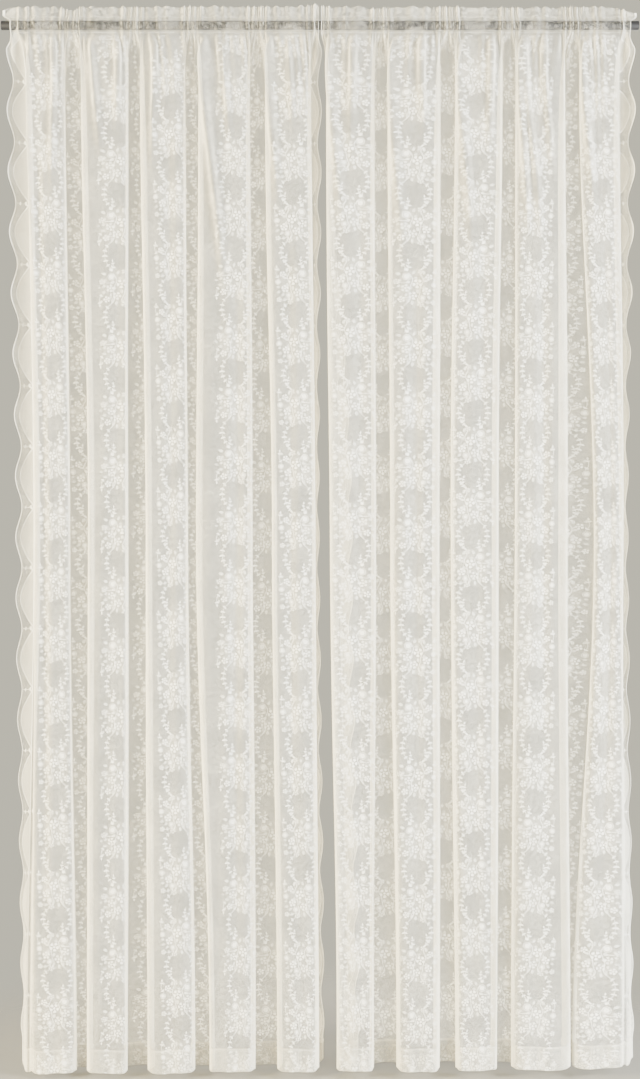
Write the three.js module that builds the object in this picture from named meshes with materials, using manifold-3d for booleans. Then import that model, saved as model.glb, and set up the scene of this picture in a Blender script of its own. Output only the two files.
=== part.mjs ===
// A pair of lace net curtains gathered by their rod pockets on one plain round rod.
// Millimetres, +X right, the room side is -Y, +Z up, origin on the rod's axis halfway along it.
import * as THREE from 'three';
import Module from 'manifold-3d';

// Driving dimensions
const ROD_RADIUS = 11;
const ROD_LENGTH = 1495;
const ROD_CHAMFER = 1;
const ROD_SIDES = 28;

const NET_THICKNESS = 1.6;
const SEWN_THICKNESS = 2.4;
const HEM_DEPTH = 55;
const STITCH_RIDGE = 4;
const HEM_DROP_LEFT = 2451;
const HEM_DROP_RIGHT = 2437;
const HALF_SPAN = 740;

const REPEAT = 143;
const FIRST_BULGE_DROP = 56;
const SCALLOP_DEPTH = 15;
const SCALLOP_STEPS = 6;
const FLAP_STEPS = 6;
const HEM_SWELL = 0.6;

const ROD_GAP = 0.3;
const POCKET_WALL = 1.7;
const POCKET_OUT = 15;
const POCKET_LOW_OUT = 14.6;
const TUNNEL_OVERRUN = 8;
const NORMAL_STEP = 5;

// The cloth is crimped on the rod: full height of a ridge, and its share on the edge and the flap
const CRIMP_HEIGHT = 10;
const EDGE_CRIMP = 0.3;
const FLAP_CRIMP = 0.7;

// Heights below the rod's axis at which the fold tables give their sizes
const TOP_DROP = 83;
const MID_DROP = 1207;
const HEM_TABLE_DROP = 2420;

// One row for each fold that stands forward, left to right: where its left and right edges show
// near the heading, at mid drop and at the hem, its depth, how far its crown leans to the right,
// and how hard the heading above it is crimped.
const LEFT_FOLDS = [
  { top: [-685, -596], mid: [-666, -584], hem: [-673, -570], depth: 72, lean: 6, crimp: 0.9 },
  { top: [-558, -448], mid: [-541, -449], hem: [-543, -449], depth: 80, lean: -5, crimp: 1.1 },
  { top: [-420, -314], mid: [-408, -310], hem: [-401, -293], depth: 82, lean: 8, crimp: 1 },
  { top: [-284, -164], mid: [-288, -157], hem: [-258, -151], depth: 74, lean: -7, crimp: 0.85 },
  { top: [-129, -21], mid: [-113, -12], hem: [-98, -3], depth: 76, lean: 4, crimp: 1.1 },
];
const RIGHT_FOLDS = [
  { top: [14, 127], mid: [23, 129], hem: [40, 126], depth: 88, lean: 7, crimp: 1.1 },
  { top: [157, 281], mid: [166, 277], hem: [180, 279], depth: 96, lean: -6, crimp: 0.9 },
  { top: [316, 426], mid: [305, 415], hem: [317, 413], depth: 94, lean: 5, crimp: 1 },
  { top: [457, 572], mid: [455, 577], hem: [448, 583], depth: 88, lean: -8, crimp: 1.1 },
  { top: [605, 699], mid: [640, 709], hem: [591, 711], depth: 66, lean: 7, crimp: 0.85 },
];

// One row for each side of a panel: the scalloped edge and the hollow beside it at the three heights,
// each as [x, y], how far the fold next to it opens flat towards the edge, where the edge ends at the
// heading's ruffle and at the pocket, and how hard the heading is crimped there.
const SIDES = {
  leftOuter: {
    edge: { top: [-719, 10], mid: [-702, 16], hem: [-695, 2] },
    hollow: { top: [-702, 28], mid: [-688, 26], hem: [-687, -8] },
    flat: { top: 0, mid: 0.15, hem: 1 },
    ruffle: -743,
    pocket: -724,
    crimp: 0.7,
  },
  leftInner: {
    edge: { top: [-6, 28], mid: [-8, 30], hem: [2, 32] },
    hollow: { top: [-17, 38], mid: [-17, 41], hem: [-8, 42] },
    flat: { top: 0, mid: 0, hem: 0 },
    ruffle: -3,
    pocket: -3,
    crimp: 0.5,
  },
  rightInner: {
    edge: { top: [23, 51], mid: [66, 26], hem: [84, 28] },
    hollow: { top: [23, 42], mid: [46, 42], hem: [65, 44] },
    flat: { top: 0, mid: 0, hem: 0 },
    ruffle: 3,
    pocket: 3,
    crimp: 0.3,
  },
  rightOuter: {
    edge: { top: [724, 6], mid: [717, 12], hem: [730, 2] },
    hollow: { top: [710, 28], mid: [710, 25], hem: [723, -8] },
    flat: { top: 0, mid: 0.2, hem: 1 },
    ruffle: 742,
    pocket: 726,
    crimp: 0.7,
  },
};

// Half a fold as columns of cloth, from the hollow between two folds to the crown: how far inside
// the fold's edge each lies (share of half its width), how far forward it stands (share of its
// depth), and how far it stands out where the heading is crimped on the rod.
const HALF_FOLD = [
  { at: 'hollow', inside: null, forward: -0.5, crimp: 0.15 },
  { at: 'corner', inside: 0.17, forward: -0.4, crimp: 0.85 },
  { at: 'side', inside: 0.07, forward: -0.04, crimp: 0.1 },
  { at: 'edge', inside: 0, forward: 0.26, crimp: 1 },
  { at: 'shoulder', inside: 0.15, forward: 0.43, crimp: 0.2 },
  { at: 'front', inside: 0.52, forward: 0.49, crimp: 0.55 },
  { at: 'crown', inside: 1, forward: 0.5, crimp: 0.65 },
];
const CROWN = HALF_FOLD.length - 1;

// How much of the fold's form the cloth has reached at each drop below the rod's axis
const OPENING = [
  { drop: 19, form: 0 },
  { drop: 34, form: 0.2 },
  { drop: 60, form: 0.45 },
  { drop: 110, form: 0.68 },
  { drop: 200, form: 0.84 },
  { drop: 380, form: 0.94 },
  { drop: 800, form: 1 },
];

const SPREAD_AHEAD = 1.2;

// Heading and pocket, one row for each line round the rod: height above the axis, how far the two
// layers stand from its mid plane, and how much of the crimp shows. A seam holds the layers together.
const HEADING = [
  { line: 'ruffle top', above: 43, out: 1.2, crimp: 1.1, seam: true },
  { line: 'ruffle', above: 27, out: 1.2, crimp: 0.9, seam: true },
  { line: 'upper seam', above: 15.5, out: 1.6, crimp: 0.5, seam: true },
  { line: 'shoulder', above: 8.5, out: 10.8, crimp: 0.5, seam: false },
  { line: 'front of rod', above: 1.5, out: POCKET_OUT, crimp: 1, seam: false },
  { line: 'under rod', above: -7, out: POCKET_LOW_OUT, crimp: 1, seam: false },
  { line: 'lower seam', above: -19, out: 1.6, crimp: 0.6, seam: true },
];

// Inside of the pocket, from its top round the front to its bottom
const TUNNEL = [
  { above: ROD_RADIUS + ROD_GAP, out: 3, crimp: 0 },
  { above: 7.8, out: 9.1, crimp: 0.5 },
  { above: 1.5, out: POCKET_OUT - POCKET_WALL, crimp: 1 },
  { above: -6, out: POCKET_LOW_OUT - POCKET_WALL, crimp: 1 },
  { above: -15.5, out: 3, crimp: 0 },
];

// Height of the ruffle's top edge above the rod's axis, along the rod
const RUFFLE_TOP = [
  { x: -743, above: 35 },
  { x: -722, above: 43 },
  { x: -620, above: 43 },
  { x: -579, above: 34 },
  { x: -560, above: 43 },
  { x: -440, above: 42 },
  { x: -300, above: 44 },
  { x: -60, above: 43 },
  { x: -8, above: 49 },
  { x: 20, above: 44 },
  { x: 90, above: 43 },
  { x: 128, above: 38 },
  { x: 160, above: 42 },
  { x: 300, above: 43 },
  { x: 440, above: 41 },
  { x: 680, above: 43 },
  { x: 715, above: 34 },
  { x: 742, above: 31 },
];

// Drops of the rows of cloth below the pocket, with closer rows beside a panel's edges, where the
// cloth turns as it falls
const ROW_DROPS = [34, 60, 110, 200, 380, 800, 1250, 1850];
const SIDE_ROW_DROPS = [34, 60, 110, 200, 380, 800, 1250, 1450, 1650, 1850, 2000, 2130, 2260];
const SIDE_COLUMNS = 6;

const wasm = await Module();
wasm.setup();

const mix = (a, b, t) => a + (b - a) * t;
const ease = (t) => t * t * (3 - 2 * t);
const share = (value, from, to) => Math.min(1, Math.max(0, (value - from) / (to - from)));

// Reads a table by straight lines between its rows
function lookUp(table, key, at, name) {
  const next = table.findIndex((row) => row[key] >= at);
  if (next === 0) return table[0][name];
  if (next < 0) return table[table.length - 1][name];
  const low = table[next - 1];
  const high = table[next];
  return mix(low[name], high[name], (at - low[key]) / (high[key] - low[key]));
}

// Reads a size given near the heading, at mid drop and at the hem
function atDrop(size, drop) {
  if (drop < MID_DROP) return mix(size.top, size.mid, ease(share(drop, TOP_DROP, MID_DROP)));
  return mix(size.mid, size.hem, ease(share(drop, MID_DROP, HEM_TABLE_DROP)));
}

function pairAtDrop(size, drop) {
  return [0, 1].map((i) => atDrop({ top: size.top[i], mid: size.mid[i], hem: size.hem[i] }, drop));
}

const hemDrop = (x) => mix(HEM_DROP_LEFT, HEM_DROP_RIGHT, share(x, -HALF_SPAN, HALF_SPAN));

// The columns of a panel from left to right: the scalloped edge, the flap beside it, both halves of
// each fold, then the other flap and edge. A column on a fold's left half has hand -1, else 1.
function panelColumns(folds) {
  const columns = [{ part: 'edge', side: 'left' }, { part: 'flap', side: 'left' }];
  folds.forEach((fold, index) => {
    for (let step = index === 0 ? 0 : 1; step <= CROWN; step += 1) {
      columns.push({ part: 'fold', fold: index, place: HALF_FOLD[step], hand: -1 });
    }
    for (let step = CROWN - 1; step >= 0; step -= 1) {
      columns.push({ part: 'fold', fold: index, place: HALF_FOLD[step], hand: 1 });
    }
  });
  columns.push({ part: 'flap', side: 'right' }, { part: 'edge', side: 'right' });
  return columns;
}

// Where a column of cloth lies once the folds have opened, as [x, y]
function foldPoint(panel, column, drop) {
  const { folds, sides } = panel;
  if (column.part !== 'fold') {
    const side = sides[column.side];
    const edge = pairAtDrop(side.edge, drop);
    if (column.part === 'edge') return edge;
    const hollow = pairAtDrop(side.hollow, drop);
    return [mix(edge[0], hollow[0], 0.5), mix(edge[1], hollow[1], 0.6)];
  }
  const { place, hand } = column;
  const fold = folds[column.fold];
  const [left, right] = pairAtDrop(fold, drop);
  const neighbour = folds[column.fold + hand];
  const side = sides[hand < 0 ? 'left' : 'right'];
  if (place.at === 'hollow') {
    if (!neighbour) return pairAtDrop(side.hollow, drop);
    const [nextLeft, nextRight] = pairAtDrop(neighbour, drop);
    const x = hand < 0 ? (nextRight + left) / 2 : (right + nextLeft) / 2;
    return [x, (fold.depth + neighbour.depth) / 4];
  }
  const half = (right - left) / 2;
  const edgeX = hand < 0 ? left : right;
  const lean = fold.lean * place.inside;
  const x = edgeX - hand * half * place.inside + lean;
  const y = -fold.depth * place.forward;
  const turnsBack = place.at === 'corner' || place.at === 'side';
  if (neighbour || !turnsBack) return [x, y];
  const hollow = pairAtDrop(side.hollow, drop);
  const flat = atDrop(side.flat, drop);
  const along = place.at === 'corner' ? 1 / 3 : 2 / 3;
  const edgeY = -fold.depth * HALF_FOLD.find((row) => row.at === 'edge').forward;
  return [mix(x, mix(hollow[0], edgeX, along), flat), mix(y, mix(hollow[1], edgeY, along), flat)];
}

// Where a column stands along the rod, and how far its crimp stands out
function headingPoint(panel, column, index) {
  const { folds, sides, columns } = panel;
  if (column.part === 'edge') return { x: sides[column.side].pocket, crimp: EDGE_CRIMP };
  const isEdge = (entry) => entry.part === 'fold' && entry.place.at === 'edge';
  if (column.part === 'fold' && column.place.forward > 0) {
    const fold = folds[column.fold];
    const along = (1 + column.hand * (1 - column.place.inside)) / 2;
    const isLastEdge = isEdge(column) && !folds[column.fold + column.hand];
    const strength = isLastEdge ? sides[column.hand < 0 ? 'left' : 'right'].crimp : fold.crimp;
    return { x: mix(fold.top[0], fold.top[1], along), crimp: column.place.crimp * strength };
  }
  let before = index;
  while (before > 0 && !isEdge(columns[before])) before -= 1;
  let after = index;
  while (after < columns.length - 1 && !isEdge(columns[after])) after += 1;
  const atLeft = before === 0;
  const atRight = after === columns.length - 1;
  const from = atLeft ? sides.left.pocket : folds[columns[before].fold].top[1];
  const to = atRight ? sides.right.pocket : folds[columns[after].fold].top[0];
  const ridge = column.part === 'flap' ? FLAP_CRIMP : column.place.crimp;
  let strength = 1;
  if (atLeft) strength = sides.left.crimp;
  else if (atRight) strength = sides.right.crimp;
  else strength = (folds[columns[before].fold].crimp + folds[columns[after].fold].crimp) / 2;
  return { x: mix(from, to, (index - before) / (after - before)), crimp: ridge * strength };
}

// Mid surface of the cloth below the pocket. Its columns spread a little ahead of its depth.
function clothPoint(panel, index, drop) {
  const column = panel.columns[index];
  const heading = panel.heading[index];
  const form = lookUp(OPENING, 'drop', drop, 'form');
  const [foldX, foldY] = foldPoint(panel, column, Math.max(drop, TOP_DROP));
  const seamY = (0.5 - heading.crimp) * CRIMP_HEIGHT * HEADING[HEADING.length - 1].crimp;
  const x = mix(heading.x, foldX, Math.min(1, form * SPREAD_AHEAD));
  return new THREE.Vector3(x, mix(seamY, foldY, form), -drop);
}

// Outward swell of a scalloped edge: a soft wave that starts below the pocket and is held flat in the hem
function scallop(drop, hem) {
  const start = share(drop, FIRST_BULGE_DROP / 2, FIRST_BULGE_DROP);
  const wave = 0.5 + 0.5 * Math.cos((2 * Math.PI * (drop - FIRST_BULGE_DROP)) / REPEAT);
  const inHem = share(drop, hem - 1.5 * HEM_DEPTH, hem - HEM_DEPTH);
  return SCALLOP_DEPTH * start * mix(wave, HEM_SWELL, inHem);
}

// Drops of the rows down to the hem. At a scalloped edge and in the column of cloth beside it they
// keep step with the scallops.
function rowDrops(panel, index, hem) {
  const stitch = hem - HEM_DEPTH;
  const { part } = panel.columns[index];
  const step = REPEAT / (part === 'edge' ? SCALLOP_STEPS : FLAP_STEPS);
  const scalloped = [];
  for (let drop = FIRST_BULGE_DROP; drop < stitch - REPEAT / SCALLOP_STEPS / 2; drop += step) {
    scalloped.push(drop);
  }
  if (part === 'edge') return [ROW_DROPS[0], ...scalloped, stitch, hem];
  if (part === 'flap') return [...SIDE_ROW_DROPS, ...scalloped, stitch, hem].sort((a, b) => a - b);
  const fromSide = Math.min(index, panel.columns.length - 1 - index);
  const rows = fromSide < SIDE_COLUMNS ? SIDE_ROW_DROPS : ROW_DROPS;
  return [...rows, stitch - STITCH_RIDGE, stitch, hem];
}

// Front and back of the cloth at a point below the pocket, set apart along its normal
function clothLayers(panel, index, drop, hem) {
  const last = panel.columns.length - 1;
  const point = clothPoint(panel, index, drop);
  const across = clothPoint(panel, Math.min(last, index + 1), drop);
  across.sub(clothPoint(panel, Math.max(0, index - 1), drop));
  const down = clothPoint(panel, index, drop + NORMAL_STEP).sub(point);
  const normal = down.cross(across).normalize();
  const hand = index === 0 ? -1 : 1;
  const isEdge = index === 0 || index === last;
  if (isEdge) point.addScaledVector(across.normalize(), hand * scallop(drop, hem));
  const thickness = drop >= hem - HEM_DEPTH ? SEWN_THICKNESS : NET_THICKNESS;
  return {
    front: point.clone().addScaledVector(normal, thickness / 2),
    back: point.clone().addScaledVector(normal, -thickness / 2),
  };
}

// Front and back of the heading and pocket on one of its lines round the rod
function headingLayers(panel, index, row) {
  const column = panel.columns[index];
  const { x: pocketX, crimp } = panel.heading[index];
  let x = pocketX;
  if (column.part === 'edge' && row.above > ROD_RADIUS) {
    const overhang = share(row.above, ROD_RADIUS - ROD_RADIUS / 2, 2 * ROD_RADIUS);
    x = mix(pocketX, panel.sides[column.side].ruffle, overhang);
  }
  const isTop = row.line === 'ruffle top';
  const z = isTop ? lookUp(RUFFLE_TOP, 'x', x, 'above') : row.above;
  const swell = crimp * CRIMP_HEIGHT * row.crimp;
  if (!row.seam) {
    return {
      front: new THREE.Vector3(x, -row.out - swell, z),
      back: new THREE.Vector3(x, row.out + swell, z),
    };
  }
  const y = 0.5 * CRIMP_HEIGHT * row.crimp - swell;
  return { front: new THREE.Vector3(x, y - row.out, z), back: new THREE.Vector3(x, y + row.out, z) };
}

// Gathers vertices and triangles of a closed mesh
function makeMesh() {
  const vertices = [];
  const triangles = [];
  return {
    vertices,
    triangles,
    add(point) {
      vertices.push(point.x, point.y, point.z);
      return vertices.length / 3 - 1;
    },
    face(a, b, c) {
      triangles.push(a, b, c);
    },
    quad(a, b, c, d) {
      triangles.push(a, b, c, a, c, d);
    },
  };
}

// Joins two neighbouring columns of points, which may have different numbers of rows
function zip(mesh, one, other, layer) {
  const [a, b] = [one[layer], other[layer]];
  const facing = layer === 'front' ? (p, q, r) => mesh.face(p, q, r) : (p, q, r) => mesh.face(p, r, q);
  let i = 0;
  let j = 0;
  while (i < a.length - 1 || j < b.length - 1) {
    const stepA = j === b.length - 1 || (i < a.length - 1 && one.drops[i + 1] <= other.drops[j + 1]);
    if (stepA) {
      facing(a[i], a[i + 1], b[j]);
      i += 1;
    } else {
      facing(a[i], b[j + 1], b[j]);
      j += 1;
    }
  }
}

function solid(mesh) {
  return new wasm.Manifold(
    new wasm.Mesh({
      numProp: 3,
      vertProperties: new Float32Array(mesh.vertices),
      triVerts: new Uint32Array(mesh.triangles),
    }),
  );
}

// The cloth as one closed sheet, its pocket still filled
function sheetMesh(panel) {
  const mesh = makeMesh();
  const last = panel.columns.length - 1;
  const columns = panel.columns.map((column, index) => {
    const hem = hemDrop(foldPoint(panel, column, HEM_TABLE_DROP)[0]);
    const drops = rowDrops(panel, index, hem);
    const layers = [
      ...HEADING.map((row) => headingLayers(panel, index, row)),
      ...drops.map((drop) => clothLayers(panel, index, drop, hem)),
    ];
    return {
      drops: [...HEADING.map((row) => -row.above), ...drops],
      front: layers.map((layer) => mesh.add(layer.front)),
      back: layers.map((layer) => mesh.add(layer.back)),
    };
  });
  for (let index = 0; index < last; index += 1) {
    const [one, other] = [columns[index], columns[index + 1]];
    zip(mesh, one, other, 'front');
    zip(mesh, one, other, 'back');
    const [low, nextLow] = [one.front.length - 1, other.front.length - 1];
    mesh.quad(one.front[0], other.front[0], other.back[0], one.back[0]);
    mesh.quad(one.front[low], one.back[low], other.back[nextLow], other.front[nextLow]);
  }
  const [first, final] = [columns[0], columns[last]];
  for (let i = 0; i < first.front.length - 1; i += 1) {
    mesh.quad(first.front[i], first.back[i], first.back[i + 1], first.front[i + 1]);
  }
  for (let i = 0; i < final.front.length - 1; i += 1) {
    mesh.quad(final.front[i], final.front[i + 1], final.back[i + 1], final.back[i]);
  }
  return mesh;
}

// The space inside the pocket, running out past both ends of the cloth
function tunnelMesh(panel) {
  const mesh = makeMesh();
  const stations = panel.heading.map(({ x, crimp }) => ({ x, crimp }));
  stations.unshift({ ...stations[0], x: stations[0].x - TUNNEL_OVERRUN });
  stations.push({ ...stations[stations.length - 1], x: stations[stations.length - 1].x + TUNNEL_OVERRUN });
  const rings = stations.map(({ x, crimp }) => {
    const reach = (row) => row.out + crimp * CRIMP_HEIGHT * row.crimp;
    const front = TUNNEL.map((row) => new THREE.Vector3(x, -reach(row), row.above));
    const back = TUNNEL.map((row) => new THREE.Vector3(x, reach(row), row.above)).reverse();
    return [...front, ...back].map((point) => mesh.add(point));
  });
  const count = rings[0].length;
  for (let station = 0; station < rings.length - 1; station += 1) {
    const [ring, next] = [rings[station], rings[station + 1]];
    for (let i = 0; i < count; i += 1) {
      const j = (i + 1) % count;
      mesh.quad(ring[i], ring[j], next[j], next[i]);
    }
  }
  const [start, end] = [rings[0], rings[rings.length - 1]];
  for (let i = 1; i < count - 1; i += 1) {
    mesh.face(start[0], start[i + 1], start[i]);
    mesh.face(end[0], end[i], end[i + 1]);
  }
  return mesh;
}

function geometryOf(manifold) {
  const { numProp, vertProperties, triVerts } = manifold.getMesh();
  const geometry = new THREE.BufferGeometry();
  geometry.setAttribute('position', new THREE.BufferAttribute(new Float32Array(vertProperties), numProp));
  geometry.setIndex(new THREE.BufferAttribute(new Uint32Array(triVerts), 1));
  geometry.computeVertexNormals();
  return geometry;
}

function lacePanel(name, folds, left, right) {
  const panel = { folds, sides: { left, right }, columns: panelColumns(folds) };
  panel.heading = panel.columns.map((column, index) => headingPoint(panel, column, index));
  const cloth = solid(sheetMesh(panel)).subtract(solid(tunnelMesh(panel)));
  const lace = new THREE.MeshStandardMaterial({ color: 0xe9e4d8, roughness: 0.9, metalness: 0 });
  const mesh = new THREE.Mesh(geometryOf(cloth), lace);
  mesh.name = name;
  return mesh;
}

function curtainRod() {
  const end = ROD_LENGTH / 2;
  const profile = [
    new THREE.Vector2(0, -end),
    new THREE.Vector2(ROD_RADIUS - ROD_CHAMFER, -end),
    new THREE.Vector2(ROD_RADIUS, -end + ROD_CHAMFER),
    new THREE.Vector2(ROD_RADIUS, end - ROD_CHAMFER),
    new THREE.Vector2(ROD_RADIUS - ROD_CHAMFER, end),
    new THREE.Vector2(0, end),
  ];
  const paint = new THREE.MeshStandardMaterial({ color: 0x3a3b3c, roughness: 0.45, metalness: 0.4 });
  const mesh = new THREE.Mesh(new THREE.LatheGeometry(profile, ROD_SIDES), paint);
  mesh.rotation.z = -Math.PI / 2;
  mesh.name = 'rod';
  return mesh;
}

const curtains = new THREE.Group();
curtains.add(
  curtainRod(),
  lacePanel('left_panel', LEFT_FOLDS, SIDES.leftOuter, SIDES.leftInner),
  lacePanel('right_panel', RIGHT_FOLDS, SIDES.rightInner, SIDES.rightOuter),
);

export default curtains;
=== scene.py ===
import math
from collections import namedtuple

import bpy
import numpy as np
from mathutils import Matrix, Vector


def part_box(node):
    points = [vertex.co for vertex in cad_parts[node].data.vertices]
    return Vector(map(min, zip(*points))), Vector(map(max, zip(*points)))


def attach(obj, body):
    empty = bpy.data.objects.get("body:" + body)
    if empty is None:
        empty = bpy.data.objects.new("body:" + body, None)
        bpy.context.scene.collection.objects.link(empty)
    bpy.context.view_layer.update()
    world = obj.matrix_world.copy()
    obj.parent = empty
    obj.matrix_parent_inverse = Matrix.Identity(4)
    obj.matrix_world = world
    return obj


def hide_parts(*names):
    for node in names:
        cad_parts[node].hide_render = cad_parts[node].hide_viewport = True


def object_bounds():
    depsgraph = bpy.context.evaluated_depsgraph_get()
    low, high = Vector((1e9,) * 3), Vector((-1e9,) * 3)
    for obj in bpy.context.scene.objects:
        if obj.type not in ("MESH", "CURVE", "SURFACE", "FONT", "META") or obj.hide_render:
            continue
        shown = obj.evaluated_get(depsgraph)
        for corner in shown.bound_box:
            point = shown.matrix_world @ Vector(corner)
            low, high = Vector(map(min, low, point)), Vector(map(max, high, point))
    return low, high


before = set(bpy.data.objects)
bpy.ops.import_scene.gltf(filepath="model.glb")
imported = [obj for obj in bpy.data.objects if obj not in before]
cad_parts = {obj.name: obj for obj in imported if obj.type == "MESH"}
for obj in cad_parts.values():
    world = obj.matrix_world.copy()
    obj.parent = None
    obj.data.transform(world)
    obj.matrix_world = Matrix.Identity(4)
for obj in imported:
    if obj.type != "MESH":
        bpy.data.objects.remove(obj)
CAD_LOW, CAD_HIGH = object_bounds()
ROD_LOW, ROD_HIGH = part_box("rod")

bl_info = {
    "name": "Lace curtain pair",
    "version": (1, 0, 0),
    "blender": (4, 5, 0),
    "location": "3D View > Sidebar > Curtain",
    "description": "Dresses a pair of gathered lace curtains and their rod",
    "category": "Object",
}

# Metres, +X right, the room side is -Y, +Z up, origin on the rod's axis halfway along it.
# Cloth coordinates: u runs across a panel's cut width from its left side, and v runs down its cut length.
# On the front of the cloth v is the drop below the rod's axis. It goes on over the ruffle's top at the
# upper end and round the hem at the lower end.

# Cut sizes of one panel
CUT_WIDTH = 1.45
HEM_DEPTH = 0.055
HEM_DROP_LEFT = 2.451
HEM_DROP_RIGHT = 2.437
HALF_SPAN = 0.74
HEM_TURN = 0.008
HEM_LAYER_GAP = 0.0014
HEM_WAVER = 0.0012
HEM_CORNER_LIFT = 0.006
HEM_CORNER_WIDTH = 0.02
HEM_EDGE_LIFT = 0.004
HEM_EDGE_WIDTH = 0.013

# Scalloped sides
REPEAT = 0.143
FIRST_BULGE = 0.056
SCALLOP_DEPTH = 0.015
HEM_SWELL = 0.6
SIDE_EASE = 0.03
BORDER_LINE = 0.024
ARC_REACH = 0.027

# Slow unevenness across the cloth, as sums of waves: each one's length, size and start
Wave = namedtuple("Wave", "length size start")
HEM_WAVES = (Wave(0.21, 1.0, 0.0), Wave(0.083, 0.6, 1.0))
GATHER_DRIFT = (Wave(0.173, 1.6, 1.3), Wave(0.071, 0.9, 0.0))
GATHER_UNEVEN = (Wave(0.093, 1.0, 2.0), Wave(0.37, 1.0, 0.0))
GATHER_LEANS = (Wave(0.31, 1.0, 0.5),)
GATHER_ENDS = (Wave(0.121, 1.0, 0.7),)
RIPPLE_LENGTH = 0.047

# Small gathers that the pocket takes up on the rod
FINE_CRIMP = 0.8
GATHER_RISE = 0.0060
GATHER_FULL_DROP = 0.042
GATHER_REACH = (0.055, 0.145)
SEAM_WAVER = 0.0030
GATHER_LEAN = 34.0
GATHER_LEAST = 0.32
GATHER_SHARPNESS = 1.6
EVEN_SHARE = 0.2
RIPPLE = 0.0013

# Heights below the rod's axis at which the fold tables give their sizes
TOP_DROP = 0.083
MID_DROP = 1.207
LOW_DROP = 2.42
SEAM_DROP = 0.019
ROD_RADIUS = (ROD_HIGH.z - ROD_LOW.z) / 2

# One row for each fold that stands forward, left to right: where its left and right edges show near the
# heading, at mid drop and at the hem, its depth, how far its crown leans, and its crimp on the rod
Fold = namedtuple("Fold", "top mid low depth lean crimp")
LEFT_FOLDS = (
    Fold((-0.685, -0.596), (-0.666, -0.584), (-0.673, -0.570), 0.072, 0.006, 0.9),
    Fold((-0.558, -0.448), (-0.541, -0.449), (-0.543, -0.449), 0.080, -0.005, 1.1),
    Fold((-0.420, -0.314), (-0.408, -0.310), (-0.401, -0.293), 0.082, 0.008, 1.0),
    Fold((-0.284, -0.164), (-0.288, -0.157), (-0.258, -0.151), 0.074, -0.007, 0.85),
    Fold((-0.129, -0.021), (-0.113, -0.012), (-0.098, -0.003), 0.076, 0.004, 1.1),
)
RIGHT_FOLDS = (
    Fold((0.014, 0.127), (0.023, 0.129), (0.040, 0.126), 0.088, 0.007, 1.1),
    Fold((0.157, 0.281), (0.166, 0.277), (0.180, 0.279), 0.096, -0.006, 0.9),
    Fold((0.316, 0.426), (0.305, 0.415), (0.317, 0.413), 0.094, 0.005, 1.0),
    Fold((0.457, 0.572), (0.455, 0.577), (0.448, 0.583), 0.088, -0.008, 1.1),
    Fold((0.605, 0.699), (0.640, 0.709), (0.591, 0.711), 0.066, 0.007, 0.85),
)

# One row for each side of a panel: the scalloped edge and the hollow beside it as (x, y) at the three
# heights, how far the fold beside it opens flat, where the edge ends at the ruffle and the pocket, and
# its crimp on the rod
Side = namedtuple("Side", "edge hollow flat ruffle pocket crimp")
LEFT_OUTER = Side(
    ((-0.719, 0.010), (-0.702, 0.016), (-0.695, 0.002)),
    ((-0.702, 0.028), (-0.688, 0.026), (-0.687, -0.008)),
    (0.0, 0.15, 1.0), -0.743, -0.724, 0.7,
)
LEFT_INNER = Side(
    ((-0.006, 0.028), (-0.008, 0.030), (0.002, 0.032)),
    ((-0.017, 0.038), (-0.017, 0.041), (-0.008, 0.042)),
    (0.0, 0.0, 0.0), -0.003, -0.003, 0.5,
)
RIGHT_INNER = Side(
    ((0.023, 0.051), (0.066, 0.026), (0.084, 0.028)),
    ((0.023, 0.042), (0.046, 0.042), (0.065, 0.044)),
    (0.0, 0.0, 0.0), 0.003, 0.003, 0.3,
)
RIGHT_OUTER = Side(
    ((0.724, 0.006), (0.717, 0.012), (0.730, 0.002)),
    ((0.710, 0.028), (0.710, 0.025), (0.723, -0.008)),
    (0.0, 0.2, 1.0), 0.742, 0.726, 0.7,
)
EDGE_CRIMP = 0.3
FLAP_CRIMP = 0.7

# Half a fold as places of the cloth, from the hollow between two folds to the crown: share of half its
# width inside the fold's edge, share of its depth forward, and how far it stands out on the rod
Place = namedtuple("Place", "name inside forward crimp")
HALF_FOLD = (
    Place("hollow", 0.0, -0.5, 0.15),
    Place("corner", 0.17, -0.4, 0.85),
    Place("side", 0.07, -0.04, 0.1),
    Place("edge", 0.0, 0.26, 1.0),
    Place("shoulder", 0.15, 0.43, 0.2),
    Place("front", 0.52, 0.49, 0.55),
    Place("crown", 1.0, 0.5, 0.65),
)
EDGE_PLACE = HALF_FOLD[3]
CROWN = len(HALF_FOLD) - 1

# How much of a fold's form the cloth has reached at each drop
OPENING_DROPS = (0.019, 0.034, 0.060, 0.110, 0.200, 0.380, 0.800)
OPENING_FORMS = (0.0, 0.2, 0.45, 0.68, 0.84, 0.94, 1.0)
SPREAD_AHEAD = 1.2

# Lines round the rod, from the front lower seam over the ruffle's top to the back lower seam: height
# above the axis, distance out, and how much of the crimp shows there, forward or back
Line = namedtuple("Line", "above out crimp")
HEADING = (
    Line(-0.019, -0.0052, -0.008),
    Line(-0.007, -0.0146, -0.009),
    Line(0.0015, -0.0152, -0.009),
    Line(0.0095, -0.0106, -0.008),
    Line(0.0195, -0.0010, -0.007),
    Line(0.029, 0.0029, -0.009),
    Line(0.0415, 0.0043, -0.011),
    Line(0.043, 0.0049, -0.011),
    Line(0.0415, 0.0055, -0.011),
    Line(0.029, 0.0045, -0.009),
    Line(0.0195, 0.0020, -0.007),
    Line(0.0085, 0.0108, 0.005),
    Line(0.0015, 0.015, 0.010),
    Line(-0.007, 0.0146, 0.010),
    Line(-0.019, -0.0036, -0.008),
)
UPPER_SEAM = 4
RUFFLE_TOP = 7
MEAN_CRIMP = 0.55

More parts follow.
